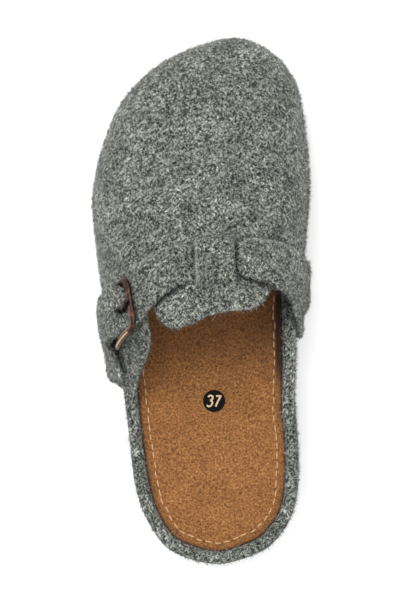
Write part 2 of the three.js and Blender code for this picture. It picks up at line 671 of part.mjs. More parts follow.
// Outer side piece between the throat and the heel, with loops for the buckle and a slot for its prong
function quarterGeometry() {
  const back = QUARTER_TOP[0].along;
  const frontAt = (turn) => alongAt(throatY(turn) - FIT * 2);
  const topTurn = (along) => turnAt(lookup(QUARTER_TOP, "across", along), along);
  const wall = slab(steps(14), steps(10), (u, v, k) => {
    const topAlong = lerp(back, frontAt(topTurn(0.5)), u);
    const turn = lerp(-1, topTurn(topAlong), v);
    const footAlong = lerp(QUARTER_BACK_FOOT, frontAt(turn), u);
    const along = lerp(footAlong, topAlong, v ** 2);
    return wallPoint(yAt(Math.min(along, frontAt(turn))), turn, k ? LAYER : FIT);
  });
  const slotWidth = PRONG.wide + FIT * 2;
  const reach = FRAME_BAR.heel + FIT + 2 * PRONG.thick + FIT;
  const slot = slab([-1, 1], [-slotWidth, slotWidth], (end, side, k) =>
    bucklePoint(end * reach * 1.2, side, k ? 0 : -reach),
  );
  let made = toManifold(wall).subtract(toManifold(slot));
  for (const sign of [-1, 1]) made = made.add(toManifold(chapeGeometry(sign * CHAPE.from, sign * CHAPE.to)));
  return fromManifold(made);
}

// Frame of the buckle: a rounded loop, widest at its far bar
function frameGeometry() {
  const halfWidth = FRAME_WIDTH / 2;
  const halfLength = buckle.length / 2;
  const corner = FRAME_CORNER;
  const loop = new THREE.Path();
  loop.moveTo(-halfLength + corner, -halfWidth);
  loop.lineTo(halfLength - corner, -halfWidth);
  loop.absarc(halfLength - corner, -halfWidth + corner, corner, -Math.PI / 2, 0, false);
  loop.lineTo(halfLength, halfWidth - corner);
  loop.absarc(halfLength - corner, halfWidth - corner, corner, 0, Math.PI / 2, false);
  loop.lineTo(-halfLength + corner, halfWidth);
  loop.absarc(-halfLength + corner, halfWidth - corner, corner, Math.PI / 2, Math.PI, false);
  loop.lineTo(-halfLength, -halfWidth + corner);
  loop.absarc(-halfLength + corner, -halfWidth + corner, corner, Math.PI, Math.PI * 1.5, false);
  const count = 44;
  const path = loop.getSpacedPoints(count).slice(0, count);
  const sides = 8;
  return ring(count, sides, (i, j) => {
    const p = path[i];
    const next = path[(i + 1) % count];
    const before = path[(i + count - 1) % count];
    const tangent = next.clone().sub(before).normalize();
    const far = smooth(-p.x, halfLength * 0.5, halfLength);
    const heel = smooth(p.x, halfLength * 0.6, halfLength);
    const wide = lerp(lerp(FRAME_BAR.side, FRAME_BAR.far, far), FRAME_BAR.heel, heel);
    const thick = lerp(FRAME_BAR.thick, FRAME_BAR.heel, heel);
    const angle = (2 * Math.PI * (j + 0.5)) / sides;
    const across = wide * Math.cos(angle);
    const along = p.x - halfLength;
    const x = along + tangent.y * across;
    const y = p.y - tangent.x * across;
    return bucklePoint(x, y, bowAt(along) + thick * Math.sin(angle));
  });
}

// Prong: a hook round the heel bar, then a flat rod through the strap's hole on to the far bar
function prongGeometry() {
  const turnRadius = FRAME_BAR.heel + FIT + PRONG.thick;
  const angles = span(HOOK_FROM, Math.PI / 2, 8);
  const hook = angles.map((a) => [turnRadius * Math.cos(a), turnRadius * Math.sin(a)]);
  const far = -buckle.length;
  const over = FRAME_BAR.thick + FIT + PRONG.thick;
  const rod = PRONG_ROD.map((row) => [far * row.along, row.height * FELT]);
  const rest = [
    [far + PRONG.tip, over + FIT],
    [far, over + FIT / 2],
    [far - PRONG.tip, over - FIT],
  ];
  const line = [...hook, ...rod, ...rest].map(([along, height]) => new THREE.Vector3(along, height, 0));
  const curve = new THREE.CatmullRomCurve3(line, false, "centripetal");
  const sides = [-1, 1];
  return slab(steps(40), sides, (u, side, k) => {
    const p = curve.getPointAt(u);
    const t = curve.getTangentAt(u);
    const thick = k ? PRONG.thick : -PRONG.thick;
    return bucklePoint(p.x - t.y * thick, side * PRONG.wide, p.y + t.x * thick);
  });
}

const MATERIALS = {
  rubber: { color: 0x3b3a37, roughness: 0.8, metalness: 0 },
  cork: { color: 0xa98258, roughness: 0.9, metalness: 0 },
  felt: { color: 0x7b7c78, roughness: 1, metalness: 0 },
  suede: { color: 0xb79a78, roughness: 0.95, metalness: 0 },
  darkMetal: { color: 0x4a2420, roughness: 0.3, metalness: 0.9 },
};

function piece(name, geometry, look) {
  const mesh = new THREE.Mesh(geometry, new THREE.MeshStandardMaterial(MATERIALS[look]));
  mesh.name = name;
  return mesh;
}

const clog = new THREE.Group();
clog.add(
  piece("outsole", outsoleGeometry(), "rubber"),
  piece("footbed", footbedGeometry(), "cork"),
  piece("insole", insoleGeometry(), "suede"),
  piece("wrap", wrapGeometry(), "felt"),
  piece("upper", upperGeometry(), "felt"),
  piece("quarter", quarterGeometry(), "felt"),
  piece("strap", strapGeometry(), "felt"),
  piece("buckle_frame", frameGeometry(), "darkMetal"),
  piece("buckle_prong", prongGeometry(), "darkMetal"),
);

// The origin is under the middle of the whole shoe
const box = new THREE.Box3().setFromObject(clog);
clog.position.set(-(box.min.x + box.max.x) / 2, -(box.min.y + box.max.y) / 2, 0);

export default clog;
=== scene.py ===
import math

import bpy
import numpy as np
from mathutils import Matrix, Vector


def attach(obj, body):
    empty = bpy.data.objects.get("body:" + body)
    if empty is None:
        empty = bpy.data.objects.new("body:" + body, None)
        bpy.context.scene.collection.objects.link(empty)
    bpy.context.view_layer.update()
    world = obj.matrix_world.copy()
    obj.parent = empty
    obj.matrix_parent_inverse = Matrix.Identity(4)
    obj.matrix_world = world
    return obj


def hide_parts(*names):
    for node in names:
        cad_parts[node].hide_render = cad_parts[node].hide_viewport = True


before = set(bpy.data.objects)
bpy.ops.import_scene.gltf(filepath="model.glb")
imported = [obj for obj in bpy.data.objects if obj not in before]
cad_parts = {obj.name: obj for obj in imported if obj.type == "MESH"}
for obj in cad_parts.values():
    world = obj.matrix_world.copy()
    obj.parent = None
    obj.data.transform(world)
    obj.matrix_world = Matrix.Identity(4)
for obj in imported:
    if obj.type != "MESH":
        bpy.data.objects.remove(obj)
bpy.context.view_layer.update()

# A grey felt clog for the left foot. Sizes are in millimetres, as shares where a table says so:
# toe towards +Y, inner side towards +X, floor at z = 0.
MM = 0.001
SHIFT_X = -0.33  # from the outline's own middle to the middle of the whole shoe

LENGTH = 252.4  # wrapped footbed, heel to toe
BALL_WIDTH = 97.8  # wrapped footbed at the ball
INSTEP_HEIGHT = 76.5  # floor to the inside of the upper at the throat
RIM_HEIGHT = 36.0  # floor to the top of the wrap at the heel
FOOTBED_HEIGHT = 26.0  # floor to the footbed in the heel cup
FELT, FIT = 3.0, 0.35  # wall of the felt, and clearance between pieces that meet
LAYER = FELT + FIT
BEAD, BEAD_DROP = 6.2, 4.4  # width of the wrap's roll, and its top down to the insole's edge
DISH_BORDER = 22.0  # width of the rising border of the footbed
INSOLE = 1.5
OUTSOLE = 6.0
ARCH_LIFT, TOE_SPRING, HEEL_BEVEL = 2.4, 10.5, 1.8  # floor to the rubber at waist, toe and heel
SOLE_INSET, SOLE_LEDGE = 1.0, 2.3  # rubber inside the wrap at the heel, and outside it at the toe
HEEL_DRAFT = 2.2  # how far the wrap draws in from rim to sole
GROOVE_WIDTH, GROOVE_DEPTH, GROOVE_PITCH, GROOVE_STEP = 2.4, 1.6, 9.0, 0.02
BAR_FAR, BAR_SIDE, BAR_HEEL, BAR_THICK = 2.5, 1.8, 1.3, 1.5  # half sizes of the frame's bars
FRAME_WIDTH, FRAME_CORNER, FRAME_BOW, FRAME_TILT = 25.4, 4.0, 1.6, 0.22
LIFT_FAR, LIFT_HEEL = 2.2, 1.15  # how far the frame's bars stand off their felt
CHAPE_WALL, CHAPE_FROM, CHAPE_TO, CHAPE_LEG = 0.9, 2.6, 5.6, 4.8  # loops over the heel bar
PRONG_WIDE, PRONG_THICK, PRONG_TIP = 1.5, 0.7, 2.4
PRONG_ROD = [(0.22, 0.7), (0.4, 0.4), (0.53, 0.13), (0.64, 0.27), (0.78, 0.78)]
HOOK_FROM = -2.3  # radians round the heel bar where the prong's hook starts
HEEL_FLAT, BALL_FLAT = (0.06, 0.28), (0.53, 0.72)  # shares of the length, as the next two
DRAFT_END, LEDGE_START = (0.28, 0.48), (0.47, 0.57)
KNEE = 0.78  # share of the wall, from crest to sole, at its widest point
HEEL_Y = -(LENGTH + FIT + FELT) / 2

# Outline of the wrapped footbed: along, outer side, inner side
OUTLINE = [
    (0.0, 0.086, 0.086), (0.026, -0.144, 0.302), (0.047, -0.203, 0.372), (0.089, -0.269, 0.448),
    (0.132, -0.308, 0.478), (0.217, -0.345, 0.487), (0.302, -0.372, 0.47), (0.388, -0.398, 0.472),
    (0.467, -0.427, 0.47), (0.535, -0.455, 0.468), (0.62, -0.484, 0.481), (0.704, -0.5, 0.5),
    (0.79, -0.46, 0.494), (0.875, -0.372, 0.465), (0.922, -0.276, 0.434), (0.962, -0.135, 0.368),
    (0.988, 0.03, 0.276), (1.0, 0.164, 0.164),
]
# Crest of the upper: along, height
CREST = [
    (0.25, 0.47), (0.308, 0.53), (0.333, 0.575), (0.36, 0.65), (0.388, 0.765), (0.411, 0.863),
    (0.439, 0.954), (0.475, 1.0), (0.53, 0.974), (0.586, 0.92), (0.685, 0.817), (0.784, 0.706),
    (0.883, 0.595), (0.942, 0.51), (0.976, 0.43), (0.994, 0.355), (1.0, 0.285), (0.996, 0.22),
]
# Cross sections: along, crown, widest, fullness
SECTIONS = [
    (0.25, 0.58, 0.69, 2.2), (0.475, 0.58, 0.72, 2.1), (0.62, 0.57, 0.61, 2.3),
    (0.78, 0.56, 0.58, 2.4), (0.9, 0.55, 0.6, 2.4), (1.0, 0.55, 0.6, 2.3),
]
# Top of the wrap's roll: along, outer side, inner side
RIM = [
    (0.0, 1.0, 1.0), (0.19, 0.96, 0.99), (0.3, 0.88, 1.02), (0.43, 0.8, 1.05),
    (0.53, 0.73, 0.82), (0.63, 0.67, 0.67), (0.8, 0.66, 0.66), (1.0, 0.7, 0.7),
]
FOOTBED = [(0.0, 1.06), (0.16, 1.0), (0.35, 0.97), (0.5, 0.8), (0.66, 0.64), (0.86, 0.66), (1.0, 0.72)]
# Back edge of the upper: across, along
THROAT = [
    (-2, 0.514), (-1, 0.522), (-0.72, 0.518), (-0.6, 0.506), (-0.55, 0.49), (-0.5, 0.469),
    (-0.43, 0.457), (-0.34, 0.455), (-0.2, 0.466), (-0.08, 0.477), (0.08, 0.485), (0.25, 0.488),
    (0.42, 0.49), (0.52, 0.498), (0.6, 0.513), (0.67, 0.527), (0.85, 0.529), (1, 0.518), (2, 0.51),
]
# The strap: toe side across, along and layers above the upper, then the same for its heel side
STRAP = [
    (2, 0.572, 0, 2, 0.432, 0),
    (1.02, 0.578, 0, 1.02, 0.444, 0),
    (0.96, 0.59, 0, 0.97, 0.478, 0),
    (0.82, 0.61, 0, 0.84, 0.51, 0),
    (0.62, 0.621, 0, 0.62, 0.535, 0),
    (0.42, 0.625, 0, 0.42, 0.547, 0),
    (0.33, 0.622, 0, 0.33, 0.551, 0),
    (0.23, 0.618, -1, 0.23, 0.554, -1),
    (-0.15, 0.615, -1, -0.15, 0.546, -1),
    (-0.26, 0.612, 0, -0.25, 0.539, 0),
    (-0.44, 0.603, 0, -0.41, 0.52, 0),
    (-0.604, 0.578, 0, -0.535, 0.495, 0.3),
    (-0.699, 0.536, 0, -0.62, 0.469, 0.9),
    (-0.804, 0.522, 1.1, -0.744, 0.446, 1.75),
    (-0.921, 0.496, 1.35, -0.855, 0.421, 2.2),
    (-0.988, 0.459, 0.55, -0.875, 0.393, 1),
    (-1.009, 0.419, 0.2, -0.88, 0.371, 0.3),
    (-1.019, 0.382, 0.1, -0.881, 0.354, 0.1),
    (-1.011, 0.354, 0.1, -0.907, 0.344, 0.1),
]
# Rows of slits and keeper, and of the frame's two bars across the strap
SLOT_IN, KEEPER_IN, KEEPER_OUT, SLOT_OUT, FAR_ROW, HEEL_ROW = 6, 7, 8, 9, 12, 14
SLOT_ENDS, SLOT_EDGE = -0.12, 0.95  # room round the strap, in rows and in half widths
# Rows where the strap starts to change, has changed, starts to change back, and is as before
COVER_ROWS, COVER_WIDER = (12.3, 12.5, 13.9, 14.7), 0.4  # wider over the frame's toe-side bar
RISE_ROWS, COVER_RISE = (12.45, 12.95, 13.15, 13.75), 0.5  # and higher there
CURL_ROWS, CURL_RISE = (12.28, 12.42, 12.4, 13.05), 1.45  # with its edge curled up
WAIST_ROWS, WAIST = (14.2, 14.8, 15.8, 16.8), 0.15  # narrower below the frame
PRESS_ROWS, PRESS = (13.05, 13.3, 15.6, 16.6), -1.5  # its edge pressed down
ROUND_ROW, ROUND_LONG = 16.9, 1.12  # where its round end starts, and how long that is
# Raised band between the slits: where it starts to fall, where it has fallen, and how much it thins
KEEPER_SHOULDER, KEEPER_EDGE, KEEPER_THIN = 1.12, 1.55, 0.4
# The strap's hole under the prong: place in the frame, half length, half width, and depth of the cut
HOLE_AT, HOLE_LONG, HOLE_WIDE, HOLE_HEIGHTS = 6.4, 4.8, 1.9, (-8, 12)
# Top edge of the outer quarter: along, across
QUARTER_TOP = [
    (0.325, -0.84), (0.356, -0.8), (0.387, -0.72), (0.411, -0.66), (0.439, -0.62), (0.475, -0.63),
    (0.51, -0.64),
]
QUARTER_BACK_FOOT = 0.35  # along, at the sole
QUARTER_LONG, QUARTER_HIGH, QUARTER_ROUND = 45, 40, 1.5  # rough size, and how far its edges are rounded
SEAM_LAP = 1.1  # how far the quarter reaches past the upper's back edge
# The upper's creases: height, place along, slope and x where they pass it, step towards the toe,
# half length, and middle and half width in x
FOLDS = [
    (-1.1, 0.66, -0.34, 8, 0, 5.5, 24, 17),
    (0.6, 0.66, -0.34, 8, 8, 5, 24, 17),
    (-1.0, 0.62, -0.45, -18, 0, 4.5, -31, 9),
    (0.5, 0.62, -0.45, -18, 7, 5, -30, 9),
    (-0.7, 0.83, 0, 0, 0, 0.05 * LENGTH, 6, 18),
    (0.5, 0.9, 0, 0, 0, 0.04 * LENGTH, 12, 18),
]
# The strap's dips and swellings: height, row, slope, half length in rows, side and half width
DIPS = [
    (-0.45, 12.6, 0, 0.5, 0, 0.55),
    (-0.5, 10.9, 0.3, 0.16, -0.3, 0.9),
    (0.3, 11.5, 0, 0.3, 0.2, 0.6),
    (0.35, 4.4, 0, 0.8, 0.1, 0.6),
    (-0.5, 15.4, 0, 0.3, -0.2, 0.5),
]
# Its crease and ridge between the frame's bars: height, row, slope, half length in rows, and the sides
# between which they grow
BAR_CREASES = [(-0.9, 13.75, -0.1, 0.13, -0.1, 0.35), (0.35, 13.4, 0, 0.2, 0.1, 0.6)]


# Helpers for smooth shapes
def y_at(along):
    return HEEL_Y + np.asarray(along, float) * LENGTH


def along_at(y):
    return (np.asarray(y, float) - HEEL_Y) / LENGTH


def lerp(a, b, t):
    return a + (b - a) * t


def smooth(value, start, end):
    t = np.clip((np.asarray(value, float) - start) / (end - start), 0, 1)
    return t * t * (3 - 2 * t)


def hill(value, start, full, fade, end):
    """0 to 1 between the first two values, and back between the last two"""
    return smooth(value, start, full) * (1 - smooth(value, fade, end))


def bump(value, middle, half):
    """A soft hill from 0 to 1 and back"""
    return np.exp(-(((np.asarray(value, float) - middle) / half) ** 2))


def crowded(count):
    """Values from 0 to 1, closer together at both ends"""
    return (1 - np.cos(np.pi * np.linspace(0, 1, count))) / 2


def hermite(start, start_way, end, end_way, t):
    """Curve from start to end that leaves and arrives in the given ways"""
    rise, fall = 3 * t**2 - 2 * t**3, 2 * t**3 - 3 * t**2 + 1
    return start * fall + start_way * (t**3 - 2 * t**2 + t) + end * rise + end_way * (t**3 - t**2)


def open_curve(points, count):
    """Smooth curve through points, in even steps of their number"""
    last = len(points) - 1
    at = np.linspace(0, last, count)
    i = np.minimum(at.astype(int), last - 1)
    p0, p1, p2, p3 = (points[np.clip(i + k, 0, last)] for k in (-1, 0, 1, 2))
    return hermite(p1, (p2 - p0) / 2, p2, (p3 - p1) / 2, (at - i)[:, None])


def run_along(points):
    """Distance from the first point to each point of a line"""
    return np.r_[0, np.cumsum(np.hypot(*np.diff(points, axis=0).T))]


def resampled(points, run, at):
    return np.stack([np.interp(at, run, points[:, k]) for k in (0, 1)], axis=1)


def curve_of(rows, column, key=0):
    """Smooth function through one column of a table"""
    keys = np.array([row[key] for row in rows], float)
    values = np.array([row[column] for row in rows], float)
    index = np.arange(len(keys))
    before, after = np.maximum(index - 1, 0), np.minimum(index + 1, len(keys) - 1)
    slopes = (values[after] - values[before]) / (keys[after] - keys[before])

    def at(x):
        x = np.clip(np.asarray(x, float), keys[0], keys[-1])
        i = np.clip(np.searchsorted(keys, x, side="right") - 1, 0, len(keys) - 2)
        span = keys[i + 1] - keys[i]
        ways = span * slopes[i], span * slopes[i + 1]
        return hermite(values[i], ways[0], values[i + 1], ways[1], (x - keys[i]) / span)

    return at


crown_share = curve_of(SECTIONS, 1)
widest_share = curve_of(SECTIONS, 2)
fullness_at = curve_of(SECTIONS, 3)
rim_lateral = curve_of(RIM, 1)
rim_medial = curve_of(RIM, 2)
footbed_share = curve_of(FOOTBED, 1)


def closed_curve(points, count):
    """Closed centripetal curve through points, as evenly spaced points"""
    n = len(points)
    fine = []
    for i in range(n):
        p0, p1, p2, p3 = (points[(i + k) % n] for k in (-1, 0, 1, 2))
        d0, d1, d2 = (max(np.hypot(*(b - a)) ** 0.5, 1e-4) for a, b in ((p0, p1), (p1, p2), (p2, p3)))
        t1 = ((p1 - p0) / d0 - (p2 - p0) / (d0 + d1) + (p2 - p1) / d1) * d1
        t2 = ((p2 - p1) / d1 - (p3 - p1) / (d1 + d2) + (p3 - p2) / d2) * d1
        t = np.linspace(0, 1, 80, endpoint=False)[:, None]
        fine.append(hermite(p1, t1, p2, t2, t))
    fine = np.vstack(fine + [fine[0][:1]])
    run = run_along(fine)
    return resampled(fine, run, np.linspace(0, run[-1], count, endpoint=False))


def outline_points():
    outer = [(row[1] * BALL_WIDTH, y_at(row[0])) for row in OUTLINE]
    inner = [(row[2] * BALL_WIDTH, y_at(row[0])) for row in OUTLINE[1:-1]][::-1]
    return closed_curve(np.array(outer + inner, float), 1200)


outline = outline_points()
outline_along = np.roll(outline, -1, axis=0) - np.roll(outline, 1, axis=0)
outline_along /= np.hypot(*outline_along.T)[:, None]
outline_normal = np.stack([-outline_along[:, 1], outline_along[:, 0]], axis=1)


def kept(make):
    """Keeps what a function of one offset has made"""
    store = {}

    def get(key):
        key = round(float(key), 4)
        if key not in store:
            store[key] = make(key)
        return store[key]

    return get


@kept
def outline_sides(out):
    """The outline moved out, split at heel and toe into its two sides, each as rising y with its x"""
    moved = outline + outline_normal * out
    n = len(moved)
    low, high = int(np.argmin(moved[:, 1])), int(np.argmax(moved[:, 1]))
    up = moved[np.arange(low, low + ((high - low) % n) + 1) % n]
    down = moved[np.arange(high, high + ((low - high) % n) + 1) % n][::-1]
    return {"lateral": up, "medial": down, "low": moved[low], "high": moved[high]}


@kept
def crest_line(out):
    line = open_curve(np.array([(y_at(row[0]), row[1] * INSTEP_HEIGHT) for row in CREST], float), 401)
    ends = np.pad(line, ((1, 1), (0, 0)), mode="edge")
    step = ends[2:] - ends[:-2]
    step /= np.hypot(*step.T)[:, None]
    moved = line + np.stack([-step[:, 1], step[:, 0]], axis=1) * out
    return moved[: int(np.argmax(moved[:, 0])) + 1]


OUT_STEP = 0.5  # between the kept offsets


def by_offset(value_at, y, out):
    """value_at(y, out) for one offset, or between kept offsets where it varies"""
    if np.ndim(out) == 0:
        return value_at(y, out)
    y, out = np.broadcast_arrays(np.asarray(y, float), out)
    low = np.floor(out / OUT_STEP) * OUT_STEP
    result = np.empty(y.shape)
    for step in np.unique(low):
        at = low == step
        share = (out[at] - step) / OUT_STEP
        result[at] = lerp(value_at(y[at], step), value_at(y[at], step + OUT_STEP), share)
    return result


def edge_x(y, side, out):
    def value(yy, o):
        line = outline_sides(o)[side]
        return np.interp(yy, line[:, 1], line[:, 0])

    return by_offset(value, y, out)


def crest_z(y, out):
    def value(yy, o):
        return np.interp(yy, *crest_line(o).T)

    return by_offset(value, y, out)


def floor_z(y):
    along = np.clip(along_at(y), 0, 1)
    heel = HEEL_BEVEL * (1 - np.minimum(along / HEEL_FLAT[0], 1)) ** 2
    toe = TOE_SPRING * np.clip((along - BALL_FLAT[1]) / (1 - BALL_FLAT[1]), 0, 1) ** 1.7
    arch = np.clip((along - HEEL_FLAT[1]) / (BALL_FLAT[0] - HEEL_FLAT[1]), 0, 1)
    return heel + toe + ARCH_LIFT * np.sin(np.pi * arch) ** 2


def sole_z(y):
    return floor_z(y) + OUTSOLE


def rim_z(x, y):
    left, right = edge_x(y, "lateral", 0.0), edge_x(y, "medial", 0.0)
    share = np.clip((x - left) / np.maximum(right - left, 1), 0, 1)
    along = along_at(y)
    return RIM_HEIGHT * lerp(rim_lateral(along), rim_medial(along), smooth(share, 0, 1))


def wall_point(y, turn, out):
    """Point of the wall that upper, quarter and strap share"""
    y, turn = np.broadcast_arrays(np.asarray(y, float), np.asarray(turn, float))
    lateral, medial = edge_x(y, "lateral", out), edge_x(y, "medial", out)
    edge = np.where(turn < 0, lateral, medial)
    along = along_at(y)
    widest = widest_share(along) * RIM_HEIGHT
    size = np.abs(turn)
    down = np.clip((size - KNEE) / (1 - KNEE), 0, 1)
    angle = (1 - np.minimum(size, KNEE) / KNEE) * np.pi / 2
    power = 2 / fullness_at(along)
    crown = lerp(lateral, medial, crown_share(along))
    x = lerp(crown, edge, np.maximum(np.cos(angle), 0) ** power)
    z = lerp(widest, crest_z(y, out), np.sin(angle) ** power)
    z = np.where(size > KNEE, lerp(widest, sole_z(y) + FIT, down), z)
    return np.stack([x, y, z], axis=-1)


def turn_at(across, along):
    """Share of the wall for a place across as seen from above, or below the widest point from 1 to 2"""
    across = np.asarray(across, float)
    size = np.abs(across)
    fullness = fullness_at(along)
    bent = KNEE * (1 - np.arccos(np.minimum(size, 1) ** (fullness / 2)) / (np.pi / 2))
    return np.sign(across) * np.where(size > 1, KNEE + (size - 1) * (1 - KNEE), bent)


throat_along = curve_of([(float(turn_at(a, l)), l) for a, l in THROAT], 1)


def throat_y(turn):
    return y_at(throat_along(turn))


def strap_column(column):
    return curve_of([(step, row[column]) for step, row in enumerate(STRAP)], 1)


def strap_turns(column):
    turns = [(step, float(turn_at(row[column], row[column + 1]))) for step, row in enumerate(STRAP)]
    return curve_of(turns, 1)


strap_toe_turn, strap_heel_turn = strap_turns(0), strap_turns(3)
strap_toe_along, strap_heel_along = strap_column(1), strap_column(4)
strap_toe_lift, strap_heel_lift = strap_column(2), strap_column(5)


def strap_place(row, side):
    share = (np.asarray(side, float) + 1) / 2
    turn = lerp(strap_heel_turn(row), strap_toe_turn(row), share)
    return y_at(lerp(strap_heel_along(row), strap_toe_along(row), share)), turn


def strap_point(row, side, out):
    y, turn = strap_place(row, side)
    return wall_point(y, turn, out)


def spread(row, side):
    """Sides of the strap: wider over the buckle's bar, narrower below it, and round at the end"""
    wider = COVER_WIDER * hill(row, *COVER_ROWS) - WAIST * hill(row, *WAIST_ROWS)
    round_end = np.sqrt(np.clip(1 - np.clip((row - ROUND_ROW) / ROUND_LONG, 0, 1) ** 2, 0, 1))
    return np.where(side > 0, side * (1 + wider), side) * round_end


def cover_rise(row, side):
    """Layers by which the strap's toe side rises over the buckle's bar, and its edge curls"""
    curl = CURL_RISE * hill(row, *CURL_ROWS) * smooth(side, 0.78, 1.02)
    return COVER_RISE * hill(row, *RISE_ROWS) * smooth(side, 0.3, 1) + curl


def strap_out(row, side):
    """Inside of the strap, as its distance out of the wall"""
    y, turn = strap_place(row, side)
    past = y - throat_y(turn)
    over = np.where(turn > 0, smooth(past, -3 * LAYER, -LAYER), 1)
    share = np.minimum((np.asarray(side, float) + 1) / 2, 1)
    lift = lerp(strap_heel_lift(row), strap_toe_lift(row), share)
    return FIT + LAYER * (over + lift + cover_rise(row, side))


def unit(v):
    return v / np.linalg.norm(v, axis=-1, keepdims=True)


def buckle_axes():
    """Middle of the heel bar, the ways down, across and out of the frame, and its length"""
    far = strap_point(FAR_ROW, 0, FIT + 2 * LAYER + BAR_THICK + LIFT_FAR)
    heel_out = FIT + LAYER + BAR_HEEL + LIFT_HEEL
    heel = strap_point(HEEL_ROW, 0, heel_out)
    middle = (FAR_ROW + HEEL_ROW) / 2
    length = np.linalg.norm(heel - far)
    down = (heel - far) / length
    side = strap_point(middle, 1, heel_out) - strap_point(middle, -1, heel_out)
    side = unit(side - down * side.dot(down))
    out = unit(np.cross(side, down))
    out = out * (-1 if out[0] > 0 else 1)
    turn, rest = math.sin(FRAME_TILT), math.cos(FRAME_TILT)
    return heel, down, side * rest - out * turn, out * rest + side * turn, length


BUCKLE_AT, BUCKLE_DOWN, BUCKLE_SIDE, BUCKLE_OUT, BUCKLE_LENGTH = buckle_axes()


def buckle_point(along, side, height):
    """Point in the frame's own sizes, from the middle of its heel bar"""
    along, side, height = np.broadcast_arrays(*(np.asarray(v, float) for v in (along, side, height)))
    out = height[..., None] * BUCKLE_OUT
    return BUCKLE_AT + along[..., None] * BUCKLE_DOWN + side[..., None] * BUCKLE_SIDE + out


def bow_at(along):
    share = np.clip(-np.asarray(along) / BUCKLE_LENGTH, 0, 1)
    return FRAME_BOW * 4 * share * (1 - share)


def draft_at(y):
    return HEEL_DRAFT * (1 - smooth(along_at(y), *DRAFT_END))


def waves(points, seed, size, count=18):
    """Soft lumps between about -1 and 1, of roughly the given size"""
    rng = np.random.default_rng(seed)
    flat = np.asarray(points, float)
    total = np.zeros(flat.shape[:-1])
    for _ in range(count):
        way = unit(rng.normal(size=flat.shape[-1]))
        length = size * rng.uniform(0.7, 1.6)
        total += np.sin(flat @ way * (2 * np.pi / length) + rng.uniform(0, 2 * np.pi))
    return total / math.sqrt(count)


# Mesh making
WELD = 0.004  # points closer than this are one
STRIP_TIP = 0.03  # share of a strip's thickness left at its rounded edge


def linked(name, data):
    made = bpy.data.objects.new(name, data)
    bpy.context.scene.collection.objects.link(made)
    return made


def mesh_object(name, points, faces, smooth_faces=True):
    mesh = bpy.data.meshes.new(name)
    placed = (np.asarray(points, float).reshape(-1, 3) + (SHIFT_X, 0, 0)) * MM
    mesh.from_pydata(placed.tolist(), [], [list(map(int, face)) for face in faces])
    mesh.validate()
    mesh.update()
    if smooth_faces:
        mesh.shade_smooth()
    return linked(name, mesh)


def grid_faces(grid):
    return np.stack([grid[:-1, :-1], grid[1:, :-1], grid[1:, 1:], grid[:-1, 1:]], axis=-1).reshape(-1, 4)


def triangles(made):
    """The corners of a mesh's triangles, and which of its points they are"""
    made.data.calc_loop_triangles()
    tri = np.array([t.vertices for t in made.data.loop_triangles])
    return *np.array([v.co for v in made.data.vertices])[tri.T], tri


def outward(made):
    """Turns the faces of a closed mesh outwards"""
    a, b, c, _ = triangles(made)
    if np.einsum("ij,ij->i", a, np.cross(b, c)).sum() < 0:
        made.data.flip_normals()
    return made


def shell_object(name, outer, inner):
    """Closed solid between two grids of points, with a wall round their border"""
    points = np.concatenate([outer.reshape(-1, 3), inner.reshape(-1, 3)])
    n = len(points) // 2
    grid = np.arange(n).reshape(outer.shape[:2])
    faces = [grid_faces(grid), grid_faces(grid)[:, [0, 3, 2, 1]] + n]
    for line in (grid[:, 0], grid[::-1, -1], grid[0, ::-1], grid[-1]):
        faces.append(np.stack([line[1:], line[:-1], line[:-1] + n, line[1:] + n], axis=-1))
    made = mesh_object(name, points, np.concatenate(faces))
    weld(made)
    return outward(made)


def weld(made):
    shrink = made.modifiers.new("weld", "WELD")
    shrink.merge_threshold = WELD * MM
    bake(made)


def bake(made):
    """Applies an object's modifiers"""
    bpy.context.view_layer.update()
    seen = made.evaluated_get(bpy.context.evaluated_depsgraph_get())
    mesh = bpy.data.meshes.new_from_object(seen)
    made.modifiers.clear()
    made.data = mesh
    mesh.name = made.name
    return made


def tube_object(name, path, normals, radii, sides=16, closed=False):
    """Round bar along a path: radii are its half sizes across and along the given normals"""
    path, normals = np.asarray(path, float), np.asarray(normals, float)
    if closed:
        tangent = unit(np.roll(path, -1, axis=0) - np.roll(path, 1, axis=0))
    else:
        tangent = unit(np.gradient(path, axis=0))
    across = unit(np.cross(tangent, normals))
    up = np.cross(across, tangent)
    angle = np.linspace(0, 2 * np.pi, sides, endpoint=False)
    radii = np.broadcast_to(np.asarray(radii, float), (len(path), 2))
    points = path[:, None] + across[:, None] * (radii[:, :1] * np.cos(angle))[..., None]
    points += up[:, None] * (radii[:, 1:] * np.sin(angle))[..., None]
    n = len(path)
    grid = np.arange(n * sides).reshape(n, sides)
    around = np.hstack([grid, grid[:, :1]])
    if closed:
        around = np.vstack([around, around[:1]])
    faces = grid_faces(around).tolist()
    if not closed:
        faces += [list(grid[0]), list(grid[-1][::-1])]
    return outward(mesh_object(name, points, faces))


def grid_normals(grid):
    u = np.gradient(grid, axis=0)
    v = np.gradient(grid, axis=1)
    normal = np.cross(u, v)
    return normal / np.maximum(np.linalg.norm(normal, axis=-1, keepdims=True), 1e-9)


def felted(made, voxel, rounds):
    """Melts overlapping closed shells into one soft skin, made of voxels of that size"""
    remesh = made.modifiers.new("remesh", "REMESH")
    remesh.mode = "VOXEL"
    remesh.voxel_size = voxel * MM
    remesh.use_smooth_shade = True
    soften = made.modifiers.new("soften", "SMOOTH")
    soften.factor = 0.5
    soften.iterations = rounds
    bake(made)
    made.data.shade_smooth()
    return made


